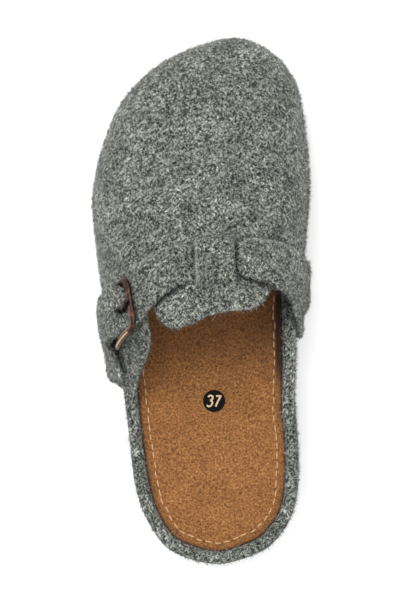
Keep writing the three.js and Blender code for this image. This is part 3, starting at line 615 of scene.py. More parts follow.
def joined(name, parts):
    """One mesh object in place of several"""
    points, faces, start = [], [], 0
    for part in parts:
        mesh = part.data
        points += [tuple(v.co) for v in mesh.vertices]
        faces += [[start + i for i in polygon.vertices] for polygon in mesh.polygons]
        start += len(mesh.vertices)
        bpy.data.objects.remove(part)
    mesh = bpy.data.meshes.new(name)
    mesh.from_pydata(points, [], faces)
    mesh.shade_smooth()
    return linked(name, mesh)


def cut(made, cutter):
    hole = made.modifiers.new("cut", "BOOLEAN")
    hole.operation = "DIFFERENCE"
    hole.solver = "EXACT"
    hole.object = cutter
    bake(made)
    bpy.data.objects.remove(cutter)
    return made


def lumps(made, seed, size, height):
    """Moves a skin in and out a little, as hand-felted wool is never even"""
    mesh = made.data
    at = np.array([v.co for v in mesh.vertices]) / MM
    normal = np.array([v.normal for v in mesh.vertices])
    moved = at + normal * (waves(at, seed, size) * height)[:, None]
    mesh.vertices.foreach_set("co", (moved * MM).ravel())
    mesh.update()
    return made


# The felt upper
CROWDING = 1.25  # radians: the grid is finer towards both sides
SOFT_UPPER = 0.92 * KNEE  # no relief further down its wall than this
THROAT_FLAP, THROAT_ROLL = (0.9, 9), (-0.4, 3)  # height at the throat, and how far it runs in
FLAP_AT, FLAP_HALF = -0.2, 0.16
SWELL, SWELL_AHEAD, SWELL_HALF, SWELL_X = 1.0, 3.5, 4, (-20, 11)
STRAP_EDGE = strap_point(np.linspace(12, 8.5, 30), 1.0, LAYER)[:, :2]  # the felt swells in front of it


def upper_relief(y, turn, x):
    """Height of the upper's soft troughs and ridges, out of its wall"""
    relief = SWELL * bump(y, np.interp(x, *STRAP_EDGE.T) + SWELL_AHEAD, SWELL_HALF) * bump(x, *SWELL_X)
    for height, along, slope, x_from, step, half_long, x_middle, x_half in FOLDS:
        middle = y_at(along) + slope * (x - x_from) + step
        relief += height * bump(y, middle, half_long) * bump(x, x_middle, x_half)
    inside = y - throat_y(turn)
    flap, roll = (height * (1 - smooth(inside, 0, reach)) for height, reach in (THROAT_FLAP, THROAT_ROLL))
    return (relief + flap * bump(turn, FLAP_AT, FLAP_HALF) + roll) * (np.abs(turn) < SOFT_UPPER)


def make_upper():
    turns = np.sin(np.linspace(-1, 1, 241) * CROWDING) / math.sin(CROWDING)
    share = np.sin(np.linspace(0, 1, 150) * np.pi / 2)
    sides = []
    for out in (LAYER, FIT):
        end = outline_sides(out)["high"][1]
        y = lerp(throat_y(turns)[None], end, share[:, None])
        turn = np.broadcast_to(turns, y.shape)
        sides.append((wall_point(y, turn, out), y, turn))
    outer, y, turn = sides[0]
    normal = grid_normals(outer)
    if normal[60, 120, 2] < 0:
        normal = -normal
    toe_fade = smooth(outline_sides(LAYER)["high"][1] - y, 1, 9)
    lift = (upper_relief(y, turn, outer[..., 0]) * toe_fade)[..., None]
    shell = shell_object("upper_felt", outer + normal * lift, sides[1][0] + normal * lift)
    slot_rows = np.linspace(SLOT_IN - SLOT_ENDS, SLOT_OUT + SLOT_ENDS, 41)
    rows, across = np.meshgrid(slot_rows, np.linspace(-SLOT_EDGE, SLOT_EDGE, 13), indexing="ij")
    slot = [strap_point(rows, across, out) for out in (2 * LAYER, -LAYER)]
    cut(shell, shell_object("slot", *slot))
    keeper_rows = np.linspace(KEEPER_IN, KEEPER_OUT, 61)
    rows, across = np.meshgrid(keeper_rows, np.linspace(-KEEPER_EDGE, KEEPER_EDGE, 121), indexing="ij")
    raised = 1 - smooth(np.abs(across), KEEPER_SHOULDER, KEEPER_EDGE)
    thin = KEEPER_THIN * (1 - raised)
    low = strap_point(rows, across, FIT + LAYER * raised + thin)
    high = strap_point(rows, across, FIT + LAYER * raised + FELT - thin)
    keeper = shell_object("keeper", high, low)
    return felted(joined("upper_felt", [shell, keeper]), voxel=1.05, rounds=3)


def rounded_ribbon(name, rows, columns, place, thickness, edge, ends):
    """Felt strip whose edges and last end are rounded over: place(row, side, out) gives its points"""
    sides = np.sin(np.linspace(-1, 1, columns) * np.pi / 2)
    row, side = np.meshgrid(rows, sides, indexing="ij")
    over = np.clip((np.abs(side) - (1 - edge)) / edge, 0, 1)
    past = np.clip((row - (rows[-1] - ends)) / ends, 0, 1)
    full = np.sqrt(np.maximum(1 - over**2, 0)) * np.sqrt(np.maximum(1 - past**2, 0))
    half = thickness / 2 * np.maximum(full, STRIP_TIP)
    return shell_object(name, place(row, side, half), place(row, side, -half))


def strap_relief(row, side):
    """Dips, swellings and creases of the strap, out of its path"""
    relief = PRESS * smooth(side, 0.55, 1.05) * hill(row, *PRESS_ROWS)
    for height, middle, slope, half_long, at_side, half_side in DIPS:
        relief += height * bump(row, middle + slope * side, half_long) * bump(side, at_side, half_side)
    for height, middle, slope, half_long, side_from, side_to in BAR_CREASES:
        relief += height * bump(row, middle + slope * side, half_long) * smooth(side, side_from, side_to)
    return relief


def make_strap():
    rows = np.concatenate([np.linspace(0, 16, 300, endpoint=False), np.linspace(16, 18, 60)])

    def place(row, side, half):
        wide = spread(row, side)
        return strap_point(row, wide, strap_out(row, wide) + FELT / 2 + half + strap_relief(row, side))

    made = rounded_ribbon("strap_felt", rows, 45, place, FELT, edge=0.13, ends=0.35)
    angle = np.linspace(0, 2 * np.pi, 24, endpoint=False)
    along = HOLE_AT - BUCKLE_LENGTH + HOLE_LONG * np.cos(angle)
    hole = [buckle_point(along, HOLE_WIDE * np.sin(angle), height) for height in HOLE_HEIGHTS]
    cut(made, tube_between("hole", *hole))
    return felted(made, voxel=0.8, rounds=3)


def tube_between(name, low, high):
    """Closed tube between two rings of points"""
    n = len(low)
    ring = np.arange(n)
    after = np.roll(ring, -1)
    faces = np.stack([ring, after, after + n, ring + n], axis=-1).tolist() + [ring[::-1], ring + n]
    return outward(mesh_object(name, np.concatenate([low, high]), faces, smooth_faces=False))


def quarter_loop(sign):
    """Felt loop round the frame's heel bar, on one side of the prong"""
    bend = [(math.cos(a), math.sin(a), 0) for a in np.linspace(np.pi, 0, 25)]
    path = np.array([(-1, 0, -CHAPE_LEG)] + bend + [(1, 0, -CHAPE_LEG)])[:, None]
    side = sign * np.linspace(CHAPE_FROM, CHAPE_TO, 7)
    grids = []
    for wall in (CHAPE_WALL, 0):
        radius = BAR_HEEL + FIT + wall
        grids.append(buckle_point(path[..., 0] * radius, side, path[..., 1] * radius + path[..., 2]))
    return shell_object("loop", *grids)


def make_quarter():
    top_across = curve_of(QUARTER_TOP, 1)

    def front(turn):
        return along_at(throat_y(turn) + SEAM_LAP)

    front_top = float(front(turn_at(top_across(0.5), 0.5)))
    u, v = np.meshgrid(np.linspace(0, 1, 110), np.sin(np.linspace(0, 1, 90) * np.pi / 2), indexing="ij")
    top_along = lerp(QUARTER_TOP[0][0], front_top, u)
    turn = lerp(-1.0, turn_at(top_across(top_along), top_along), v)
    along = lerp(lerp(QUARTER_BACK_FOOT, front(turn), u), top_along, v**2)
    y = y_at(np.minimum(along, front(turn)))
    edge = np.minimum((1 - v) * QUARTER_HIGH, u * QUARTER_LONG)
    over = np.clip(1 - edge / QUARTER_ROUND, 0, 1)
    half = FELT / 2 * np.maximum(np.sqrt(1 - over**2), 0.05)
    faces = [wall_point(y, turn, FIT + FELT / 2 + way * half) for way in (1, -1)]
    wall = shell_object("quarter_wall", *faces)
    reach = BAR_HEEL + FIT + 2 * PRONG_THICK + FIT
    width = PRONG_WIDE + FIT * 2
    ends, sides = np.meshgrid([-1.2 * reach, 1.2 * reach], [-width, width], indexing="ij")
    cut(wall, shell_object("recess", *(buckle_point(ends, sides, height) for height in (0, -reach))))
    loops = [quarter_loop(sign) for sign in (-1, 1)]
    return felted(joined("quarter_felt", [wall] + loops), voxel=0.7, rounds=2)


WRAP_SECTIONS, WRAP_SWELL = 500, 0.32
WRAP_COVERED = (-62, -44)  # in y: from here on other felt lies close round the wrap


def make_wrap():
    """Felt band round the footbed: one section at each place, up its side and over the roll"""
    at = (np.arange(WRAP_SECTIONS) * len(outline) / WRAP_SECTIONS).astype(int)
    p, normal = outline[at], outline_normal[at]
    foot = sole_z(p[:, 1]) + FIT
    top = rim_z(*p.T)
    roll = BEAD / 2
    half_circle = [(math.cos(a), math.sin(a)) for a in np.linspace(0, np.pi, 19)]
    sections = []
    for low, high, draft in zip(foot, top, draft_at(p[:, 1])):
        under = high - BEAD_DROP - INSOLE
        line = [(-draft, low)]
        line += [(lerp(-draft, 0, t), lerp(low, high - roll, t)) for t in np.linspace(0.08, 0.92, 12)]
        line += [(roll * (cos - 1), high + roll * (sin - 1)) for cos, sin in half_circle]
        line += [(-BEAD + 0.2, lerp(high - roll, under, 0.5)), (-BEAD + 0.5, under + 0.2)]
        line += [(-BEAD + 1, under), (-FELT, under), (-FELT - draft, low)]
        sections.append(line)
    out, height = np.moveaxis(np.array(sections), -1, 0)
    points = np.concatenate([p[:, None] + normal[:, None] * out[..., None], height[..., None]], axis=-1)
    up = np.full(out.shape + (1,), 0.6)
    push = unit(np.concatenate([normal[:, None] + 0 * up, up], axis=-1))
    swell = WRAP_SWELL * waves(p, 5, 26) * (1 - smooth(p[:, 1], *WRAP_COVERED))
    swell = swell[:, None] * (out > -BEAD + 0.6)
    points += push * (swell * smooth(height, foot[:, None], top[:, None]))[..., None]
    grid = np.arange(out.size).reshape(out.shape)
    grid = np.pad(grid, ((0, 1), (0, 1)), mode="wrap")
    return outward(mesh_object("wrap_felt", points, grid_faces(grid)))


# Dished footbed and its suede
def rim_distance(x, y):
    """Distance from the roll of the wrap"""
    line = (outline - outline_normal * LAYER)[::3]
    d = np.hypot(x.ravel()[:, None] - line[:, 0], y.ravel()[:, None] - line[:, 1]).min(axis=1)
    return np.maximum(0, d.reshape(x.shape) - (BEAD + FIT - LAYER))


def footbed_z(x, y):
    middle = footbed_share(along_at(y)) * FOOTBED_HEIGHT
    edge = rim_z(x, y) - BEAD_DROP - INSOLE - FIT
    rise = (1 - np.minimum(rim_distance(x, y) / DISH_BORDER, 1)) ** 2
    return lerp(middle, edge, rise)


INSOLE_ROUND, INSOLE_SINK, INSOLE_WAVES = 0.8, 0.5, 0.07  # its edge rounded off, and its unevenness


def insole_top(x, y):
    x, y = np.asarray(x, float), np.asarray(y, float)
    over = np.clip(1 - rim_distance(x, y) / INSOLE_ROUND, 0, 1)
    uneven = INSOLE_WAVES * waves(np.stack([x, y], -1), 11, 22)
    return footbed_z(x, y) + FIT + INSOLE - INSOLE_SINK * over**2 + uneven


def plate_grid(out, rows, columns):
    ends = outline_sides(out)
    y = lerp(ends["low"][1], ends["high"][1], crowded(rows))[:, None]
    x = lerp(edge_x(y, "lateral", out), edge_x(y, "medial", out), crowded(columns))
    return x, y + 0 * x


def make_insole():
    x, y = plate_grid(-BEAD - FIT * 0.4, 220, 110)
    top = np.stack([x, y, insole_top(x, y)], -1)
    return shell_object("insole_suede", top, np.stack([x, y, footbed_z(x, y) + FIT], -1))


STITCH_INSET, STITCH_PITCH, STITCH_LONG = 4.2, 4.5, (3.0, 3.7)
STITCH_FRONT = {"medial": 3, "lateral": -30}  # y where the row ends on each side
THREAD, THREAD_BENDS, THREAD_WANDER = 0.34, 7, 0.16
THREAD_ROOT, THREAD_RISE = -0.22, 0.4  # from the suede to the thread's middle at its ends, and its arch


def make_stitches():
    """Running stitches a little inside the insole's edge, each a short lump of thread"""
    line = outline - outline_normal * (BEAD + STITCH_INSET)
    front = np.where(line[:, 0] < 0, STITCH_FRONT["lateral"], STITCH_FRONT["medial"])
    line = line[line[:, 1] < front]
    start = int(np.argmax(np.hypot(*np.diff(line, axis=0).T))) + 1
    line = np.roll(line, -start, axis=0)
    run = run_along(line)
    rng = np.random.default_rng(3)
    arch = np.sin(np.linspace(0, np.pi, THREAD_BENDS))
    up = np.tile([0.0, 0, 1], (THREAD_BENDS, 1))
    radii = np.stack([THREAD * (0.55 + 0.45 * arch)] * 2, axis=1)
    parts = []
    for k in range(int(run[-1] / STITCH_PITCH)):
        wander = rng.normal(0, THREAD_WANDER, 2)
        at = k * STITCH_PITCH + np.linspace(0, rng.uniform(*STITCH_LONG), THREAD_BENDS)
        x, y = (resampled(line, run, at) + wander).T
        z = insole_top(x, y) + THREAD_ROOT + THREAD_RISE * arch
        parts.append(tube_object("stitch", np.stack([x, y, z], -1), up, radii, sides=7))
    return joined("insole_stitches", parts)


DOT_AT = np.array((6.6, -48.8))
DOT_RADIUS = 5.4
PRINT = 0.03  # how far one layer of print stands off the suede
DIGIT_SIZE, DIGIT_LEAN, DIGIT_STROKE, DIGIT_STEPS = 0.78, 0.16, 0.42, 40
DIGIT_CURVES = [
    [(-4.1, 2.5), (-3.3, 3.3), (-2.0, 3.3), (-1.2, 2.4), (-1.5, 1.1), (-2.6, 0.35)],
    [(-2.6, 0.35), (-1.3, -0.2), (-0.95, -1.6), (-1.7, -3.0), (-3.1, -3.3), (-4.1, -2.5)],
]
DIGIT_LINES = [[(0.7, 3.1), (3.7, 3.1), (2.9, 1.2), (2.0, -1.2), (1.5, -3.4)]]


def draped(name, x, y, faces, height):
    return mesh_object(name, np.stack([x, y, insole_top(x, y) + height], -1), faces)


def make_dot():
    rings, spokes = 8, 72
    radius = DOT_RADIUS * np.arange(1, rings + 1)[:, None] / rings
    angle = np.linspace(0, 2 * np.pi, spokes, endpoint=False)
    x = np.r_[DOT_AT[0], (DOT_AT[0] + radius * np.cos(angle)).ravel()]
    y = np.r_[DOT_AT[1], (DOT_AT[1] + radius * np.sin(angle)).ravel()]
    grid = np.pad(1 + np.arange(rings * spokes).reshape(rings, spokes), ((0, 0), (0, 1)), mode="wrap")
    faces = [[0, a, b] for a, b in zip(grid[0, :-1], grid[0, 1:])] + grid_faces(grid).tolist()
    return draped("size_dot", x, y, faces, PRINT * 2)


def make_number():
    """The plain size number, from strokes of even width on the dot"""
    points, faces = [], []
    for stroke in DIGIT_CURVES + DIGIT_LINES:
        p = np.array(stroke) * DIGIT_SIZE
        p[:, 0] += p[:, 1] * DIGIT_LEAN
        if stroke in DIGIT_CURVES:
            line = open_curve(p, DIGIT_STEPS)
        else:
            line = resampled(p, np.arange(len(p)), np.linspace(0, len(p) - 1, DIGIT_STEPS))
        step = unit(np.gradient(line, axis=0))
        across = np.stack([-step[:, 1], step[:, 0]], axis=1) * DIGIT_STROKE
        grid = 2 * DIGIT_STEPS * len(points) + np.arange(2 * DIGIT_STEPS).reshape(2, -1)
        points.append(DOT_AT + np.concatenate([line + across, line - across]))
        faces += grid_faces(grid).tolist()
    return draped("size_number", *np.concatenate(points).T, faces, PRINT * 5)


# Rubber sole with its grooves and fine ribs
SOLE_ROUND, SOLE_CHAMFER = 1.2, 0.5  # width and height of its rounded lower edge


def groove_middles():
    """Where the cross grooves of heel and ball lie, in y"""
    middles = []
    for start, end in (HEEL_FLAT, BALL_FLAT):
        count = int((end - start) * LENGTH // GROOVE_PITCH)
        middles += [float(y_at(lerp(start, end, k / count))) for k in range(1, count)]
    return np.array(middles)


def make_outsole():
    grooves = groove_middles()
    ends = outline_sides(-SOLE_INSET - HEEL_DRAFT)["low"][1], outline_sides(SOLE_LEDGE)["high"][1]
    half = GROOVE_WIDTH / 2
    steps = [grooves + side * (half + step) for side in (-1, 1) for step in (-GROOVE_STEP, GROOVE_STEP)]
    y = np.unique(np.concatenate([lerp(*ends, crowded(170)), *steps]))[:, None]
    out = np.round(lerp(-SOLE_INSET - draft_at(y), SOLE_LEDGE, smooth(along_at(y), *LEDGE_START)), 1)
    left, right = edge_x(y, "lateral", out), edge_x(y, "medial", out)
    x = lerp(left, right, crowded(61))
    y = y + 0 * x
    inset = np.minimum(x - left, right - x)
    depth = GROOVE_DEPTH * (np.abs(y[..., None] - grooves) <= half).any(axis=-1)
    bottom = floor_z(y) + depth * smooth(inset, 0, SOLE_ROUND / 2)
    bottom += SOLE_CHAMFER * (1 - smooth(inset, 0, SOLE_ROUND))
    return shell_object("outsole_rubber", np.stack([x, y, sole_z(y)], -1), np.stack([x, y, bottom], -1))


# Metal of the buckle
def make_frame():
    half_width, half_length, corner = FRAME_WIDTH / 2, BUCKLE_LENGTH / 2, FRAME_CORNER
    path = []
    for cx, cy, start in ((1, -1, -90), (1, 1, 0), (-1, 1, 90), (-1, -1, 180)):
        middle = np.array((cx * (half_length - corner), cy * (half_width - corner)))
        for angle in np.radians(start + np.linspace(0, 90, 14)):
            path.append(middle + corner * np.array((math.cos(angle), math.sin(angle))))
    closed = np.array(path + path[:1])
    run = run_along(closed)
    path = resampled(closed, run, np.linspace(0, run[-1], 240, endpoint=False))
    far = smooth(-path[:, 0], half_length * 0.5, half_length)
    heel = smooth(path[:, 0], half_length * 0.6, half_length)
    wide = lerp(lerp(BAR_SIDE, BAR_FAR, far), BAR_HEEL, heel)
    thick = lerp(BAR_THICK, BAR_HEEL, heel)
    along = path[:, 0] - half_length
    line = buckle_point(along, path[:, 1], bow_at(along))
    up = np.tile(BUCKLE_OUT, (len(line), 1))
    return tube_object("buckle_frame_metal", line, up, np.stack([wide, thick], 1), sides=24, closed=True)


def make_prong():
    radius = BAR_HEEL + FIT + PRONG_THICK
    line = [(radius * math.cos(a), radius * math.sin(a)) for a in np.linspace(HOOK_FROM, np.pi / 2, 20)]
    far = -BUCKLE_LENGTH
    over = BAR_THICK + FIT + PRONG_THICK
    line += [(far * a, h * FELT) for a, h in PRONG_ROD]
    line += [(far + PRONG_TIP, over + FIT), (far, over + FIT / 2), (far - PRONG_TIP, over - FIT)]
    run = run_along(np.array(line))
    p = resampled(np.array(line), run, np.linspace(0, run[-1], 140))
    blur = np.ones(7) / 7
    for _ in range(2):
        soft = [np.convolve(np.pad(p[:, k], 3, mode="edge"), blur, mode="valid") for k in (0, 1)]
        p[1:-1] = np.stack(soft, axis=1)[1:-1]
    points = buckle_point(p[:, 0], 0, p[:, 1])
    tangent = unit(np.gradient(points, axis=0))
    up = unit(np.cross(tangent, BUCKLE_SIDE))
    tip = np.sqrt(np.clip((1 - np.linspace(0, 1, len(p))) / 0.06, 0.02, 1))
    radii = np.stack([PRONG_WIDE * tip, PRONG_THICK * tip], axis=1)
    return tube_object("buckle_prong_metal", points, up, radii, sides=16)


# Marks at the points of a skin, which its material reads
def points_of(made):
    return np.array([v.co for v in made.data.vertices]) / MM - (SHIFT_X, 0, 0)


def keep_share(made, name, share):
    """Stores shares from 0 to 1, or the greater ones where the skin has some already"""
    layer = made.data.attributes.get(name)
    if layer:
        share = np.maximum(share, [v.value for v in layer.data])
    else:
        layer = made.data.attributes.new(name, "FLOAT", "POINT")
    layer.data.foreach_set("value", share.astype(np.float32))


def mark(made, name, lines, width, strength=1.0):
    """Share at each point, strongest on the given lines"""
    at = points_of(made)
    share = np.zeros(len(at))
    for line in lines:
        low, high = line.min(axis=0) - 3 * width, line.max(axis=0) + 3 * width
        near = np.where(((at > low) & (at < high)).all(axis=1))[0]
        for some in np.array_split(near, max(1, len(near) // 4000)):
            gap = np.linalg.norm(at[some, None] - line, axis=-1).min(axis=1)
            share[some] = np.maximum(share[some], strength * np.exp(-((gap / width) ** 2)))
    keep_share(made, name, share)


def paint_suede_shade(made):
    """Painted shade on the suede: in the crease under the roll, on the steep wall on the inner side, and
    growing towards the flap, whose shadow falls there
    """
    x, y, _ = points_of(made).T
    edge = rim_distance(x, y)
    crease = 0.65 * np.exp(-edge / 0.9) + 0.1 * np.exp(-edge / 4)
    wall = 0.85 * smooth(x, 35.4, 37.4) * hill(y, -44, -28, 8, 16)
    keep_share(made, "painted_suede_shade", np.clip(crease + wall + 0.3 * smooth(y, -40, -6), 0, 1))


def strap_line(rows, side, out, count=90):
    """Points along or across the strap's path, at a distance out of the wall"""
    row = np.linspace(*rows, count) if np.ndim(rows) else np.full(count, rows)
    wide = np.linspace(*side, count) if np.ndim(side) else np.full(count, side)
    return strap_point(row, wide, out)


# Loose wool on the felt
FIBRE_WIDTH, FIBRE_RISE, FIBRE_CURL = 0.2, (0.12, 0.85), 0.6
BARE = 1.6  # how fast the fibres get fewer where painted shade is marked on the felt


def make_nap(name, base, count, seed, reach):
    """Short curved fibres standing off a skin, as one mesh"""
    a, b, c, tri = triangles(base)
    normal = np.cross(b - a, c - a)
    area = np.linalg.norm(normal, axis=1)
    # Fewer fibres over the painted shade
    if "painted_shade" in base.data.attributes:
        painted_shade = np.array([v.value for v in base.data.attributes["painted_shade"].data])
        area = area * np.clip(1 - BARE * painted_shade[tri].max(axis=1), 0, 1)
    rng = np.random.default_rng(seed)
    pick = rng.choice(len(tri), count, p=area / area.sum())
    u, v = rng.random((2, count, 1))
    flip = (u + v) > 1
    u, v = np.where(flip, 1 - u, u), np.where(flip, 1 - v, v)
    root = a[pick] + (b[pick] - a[pick]) * u + (c[pick] - a[pick]) * v
    up = unit(normal[pick])
    lean = rng.normal(size=(count, 3))
    lean = unit(lean - up * (lean * up).sum(1, keepdims=True))
    curl = unit(np.cross(up, lean)) * rng.normal(0, FIBRE_CURL, (count, 1))
    length = rng.uniform(*reach, (count, 1)) * MM
    rise = rng.uniform(*FIBRE_RISE, (count, 1))
    middle = root + (up * rise * 0.8 + lean * 0.5) * length * 0.55
    tip = root + (up * rise + lean + curl) * length
    side = unit(np.cross(tip - root, up)) * (FIBRE_WIDTH * MM / 2)
    root = root - up * 0.1 * MM
    points = np.stack([root - side, root + side, middle - side, middle + side, tip], axis=1)
    first = np.arange(count)[:, None] * 5
    faces = (first + [0, 1, 3, 2]).tolist() + (first + [2, 3, 4]).tolist()
    mesh = bpy.data.meshes.new(name)
    mesh.from_pydata(points.reshape(-1, 3).tolist(), [], faces)
    mesh.shade_smooth()
    return linked(name, mesh)


# Materials
def linear(v):
    return ((v / 255 + 0.055) / 1.055) ** 2.4 if v > 10 else v / 255 / 12.92


def rgb(r, g, b):
    """Linear colour from the eye's 0 to 255 scale"""
    return linear(r), linear(g), linear(b), 1.0


class Look:
    """A node material with its bump and colour built up step by step"""

    def __init__(self, name):
        self.material = bpy.data.materials.new(name)
        self.material.use_nodes = True
        self.nodes = self.material.node_tree.nodes
        self.links = self.material.node_tree.links
        self.shader = self.nodes["Principled BSDF"]
        self.place = self.node("ShaderNodeTexCoord").outputs["Object"]
        self.last_bump = None

    def node(self, kind, **values):
        made = self.nodes.new(kind)
        for key, value in values.items():
            setattr(made, key, value)
        return made

    def set(self, **values):
        for key, value in values.items():
            self.shader.inputs[key.replace("_", " ")].default_value = value
        return self

    def noise(self, size_mm, detail=3.0, rough=0.6, distort=0.0, stretch=(1, 1, 1), turn=(0, 0, 0)):
        """Noise whose features are about size_mm across, and longer where stretch is over 1"""
        lay = self.node("ShaderNodeMapping", vector_type="TEXTURE")
        lay.inputs["Scale"].default_value = stretch
        lay.inputs["Rotation"].default_value = turn
        self.links.new(self.place, lay.inputs["Vector"])
        made = self.node("ShaderNodeTexNoise")
        made.inputs["Scale"].default_value = 1 / (size_mm * MM)
        made.inputs["Detail"].default_value = detail
        made.inputs["Roughness"].default_value = rough
        made.inputs["Distortion"].default_value = distort
        self.links.new(lay.outputs[0], made.inputs["Vector"])
        return made.outputs["Fac"]

    def ramp(self, value, stops):
        made = self.node("ShaderNodeValToRGB")
        elements = made.color_ramp.elements
        while len(elements) < len(stops):
            elements.new(0.5)
        for element, (at, color) in zip(elements, stops):
            element.position = at
            element.color = color if len(color) == 4 else (*color, 1.0)
        self.links.new(value, made.inputs["Fac"])
        return made.outputs["Color"]

    def feed(self, sockets, values):
        """Gives each socket its constant value or its link"""
        for socket, value in zip(sockets, values):
            if isinstance(value, (int, float, tuple)):
                socket.default_value = value
            else:
                self.links.new(value, socket)

    def math(self, kind, *values):
        made = self.node("ShaderNodeMath", operation=kind)
        self.feed(made.inputs, values)
        return made.outputs[0]

    def mix(self, share, a, b, kind="MIX"):
        made = self.node("ShaderNodeMix", data_type="RGBA", blend_type=kind)
        self.feed((made.inputs[0], made.inputs[6], made.inputs[7]), (share, a, b))
        return made.outputs[2]

    def color(self, value):
        self.links.new(value, self.shader.inputs["Base Color"])
        return self

    def rough(self, value):
        self.links.new(value, self.shader.inputs["Roughness"])
        return self

    def bump(self, height, depth_mm, strength=1.0):
        made = self.node("ShaderNodeBump")
        made.inputs["Strength"].default_value = strength
        made.inputs["Distance"].default_value = depth_mm * MM
        self.links.new(height, made.inputs["Height"])
        if self.last_bump:
            self.links.new(self.last_bump, made.inputs["Normal"])
        self.last_bump = made.outputs["Normal"]
        self.links.new(self.last_bump, self.shader.inputs["Normal"])
        return self

    def attribute(self, name):
        return self.node("ShaderNodeAttribute", attribute_name=name).outputs["Fac"]


def grey(level):
    """The wool's grey, a little green"""
    return rgb(level, level * 1.025, level * 0.97)


def felt_look(name):
    """Mixed grey wool: dark and pale fibres blended in flecks of a millimetre or two"""
    look = Look(name)
    fleck = look.noise(1.25, 3.0, 0.75, 0.6)
    falling = look.noise(0.8, 2.0, 0.6, 0.9, (1, 5.5, 1.5), (0.3, 0.2, -0.75))
    rising = look.noise(0.8, 2.0, 0.6, 0.9, (1, 5.5, 1.5), (0.5, 0.1, 0.6))
    strand = look.math("MAXIMUM", falling, rising)
    value = look.math("ADD", look.math("MULTIPLY", fleck, 0.38), look.math("MULTIPLY", strand, 0.62))
    tones = [(0.415, 6), (0.48, 34), (0.53, 76), (0.587, 142), (0.655, 196)]
    color = look.ramp(value, [(at, grey(level)) for at, level in tones])
    wander = look.math("SUBTRACT", look.noise(3.5, 2.0, 0.7, 2.0, (1, 1.8, 1), (0, 0, 0.6)), 0.5)
    thin = look.math("LESS_THAN", look.math("ABSOLUTE", wander), 0.01)
    fibre = look.math("MULTIPLY", thin, look.math("GREATER_THAN", look.noise(5.0, 1.0), 0.5))
    color = look.mix(look.math("MULTIPLY", fibre, 0.6), color, grey(190))
    shades = [(0.34, (0.42, 0.43, 0.41)), (0.5, (0.77, 0.78, 0.76)), (0.64, (1.17, 1.17, 1.16))]
    color = look.mix(0.75, color, look.ramp(look.noise(13, 3.0), shades), "MULTIPLY")
    # Painted shade where the skin is marked dark, and painted highlight where it is marked light
    color = look.mix(look.math("MULTIPLY", look.attribute("painted_shade"), 0.92), color, grey(6))
    look.color(look.mix(look.math("MULTIPLY", look.attribute("painted_highlight"), 0.45), color, grey(165)))
    look.bump(look.noise(3.2, 2.0, 0.5), 0.5, 0.5)
    look.bump(value, 0.7, 0.9)
    look.set(Roughness=0.95, Sheen_Weight=0.12, Sheen_Roughness=0.6, Specular_IOR_Level=0.1)
    return look.material


def wool_look():
    """Single loose fibres, some dark and some pale"""
    look = Look("loose_wool")
    tones = [(0.42, rgb(34, 36, 34)), (0.5, rgb(86, 88, 84)), (0.6, rgb(158, 160, 154))]
    look.color(look.ramp(look.noise(1.6, 1.0), tones))
    look.set(Roughness=0.9, Sheen_Weight=0.1, Specular_IOR_Level=0.1)
    return look.material


def suede_look():
    """Tan split leather: fine nap and darker pores, with painted shade along its border and towards the
    flap
    """
    look = Look("tan_suede")
    tones = [(0.34, rgb(70, 42, 20)), (0.46, rgb(117, 76, 40)), (0.58, rgb(142, 96, 54)),
             (0.7, rgb(172, 122, 74))]
    color = look.ramp(look.noise(0.95, 3.0, 0.72, 0.3), tones)
    shades = [(0.32, (0.72, 0.68, 0.6)), (0.66, (1.08, 1.05, 1.02))]
    color = look.mix(0.5, color, look.ramp(look.noise(11, 3.0, 0.6), shades), "MULTIPLY")
    # Painted shade: darker brown where the suede is marked
    look.color(look.mix(look.attribute("painted_suede_shade"), color, rgb(52, 27, 12)))
    look.bump(look.noise(0.5, 3.0, 0.7), 0.16, 0.8)
    look.bump(look.noise(5.0, 2.0, 0.5), 0.2, 0.4)
    look.set(Roughness=0.9, Sheen_Weight=0.2, Sheen_Roughness=0.5, Specular_IOR_Level=0.2)
    return look.material


def thread_look():
    look = Look("cream_thread")
    twist = look.noise(0.4, 1.0, 0.5, 0.0, (1, 0.3, 1))
    look.color(look.ramp(twist, [(0.3, rgb(150, 108, 66)), (0.7, rgb(214, 178, 128))]))
    look.bump(twist, 0.12)
    look.set(Roughness=0.6, Sheen_Weight=0.2)
    return look.material


def print_look(name, low, high):
    look = Look(name)
    wear = look.noise(0.5, 3.0, 0.7)
    look.color(look.ramp(wear, [(0.35, low), (0.7, high)]))
    look.bump(wear, 0.05, 0.5)
    look.set(Roughness=0.9, Specular_IOR_Level=0.1)
    return look.material


def metal_look(name, shade=1.0):
    """Dark coppery plating, golden where a painted highlight is marked, and darker as painted shade when
    shade is under 1
    """
    look = Look(name)
    tones = [(0.3, rgb(20, 12, 8)), (0.52, rgb(50, 31, 21)), (0.66, rgb(94, 61, 40)),
             (0.8, rgb(128, 86, 56))]
    # A shade under 1 darkens every tone: painted shade
    shaded = [(at, tuple(c * shade for c in tone)) for at, tone in tones]
    color = look.ramp(look.noise(2.6, 3.0, 0.6), shaded)
    look.color(look.mix(look.attribute("painted_highlight"), color, rgb(222, 188, 146)))
    look.rough(look.math("MULTIPLY_ADD", look.noise(1.1, 4.0, 0.7), 0.3, 0.3))
    look.bump(look.noise(0.6, 2.0), 0.03, 0.3)
    look.set(Metallic=0.85, Coat_Weight=0.15, Coat_Roughness=0.25)
    return look.material


RIB_PITCH = 1.1  # sets the fine ribs of the rubber


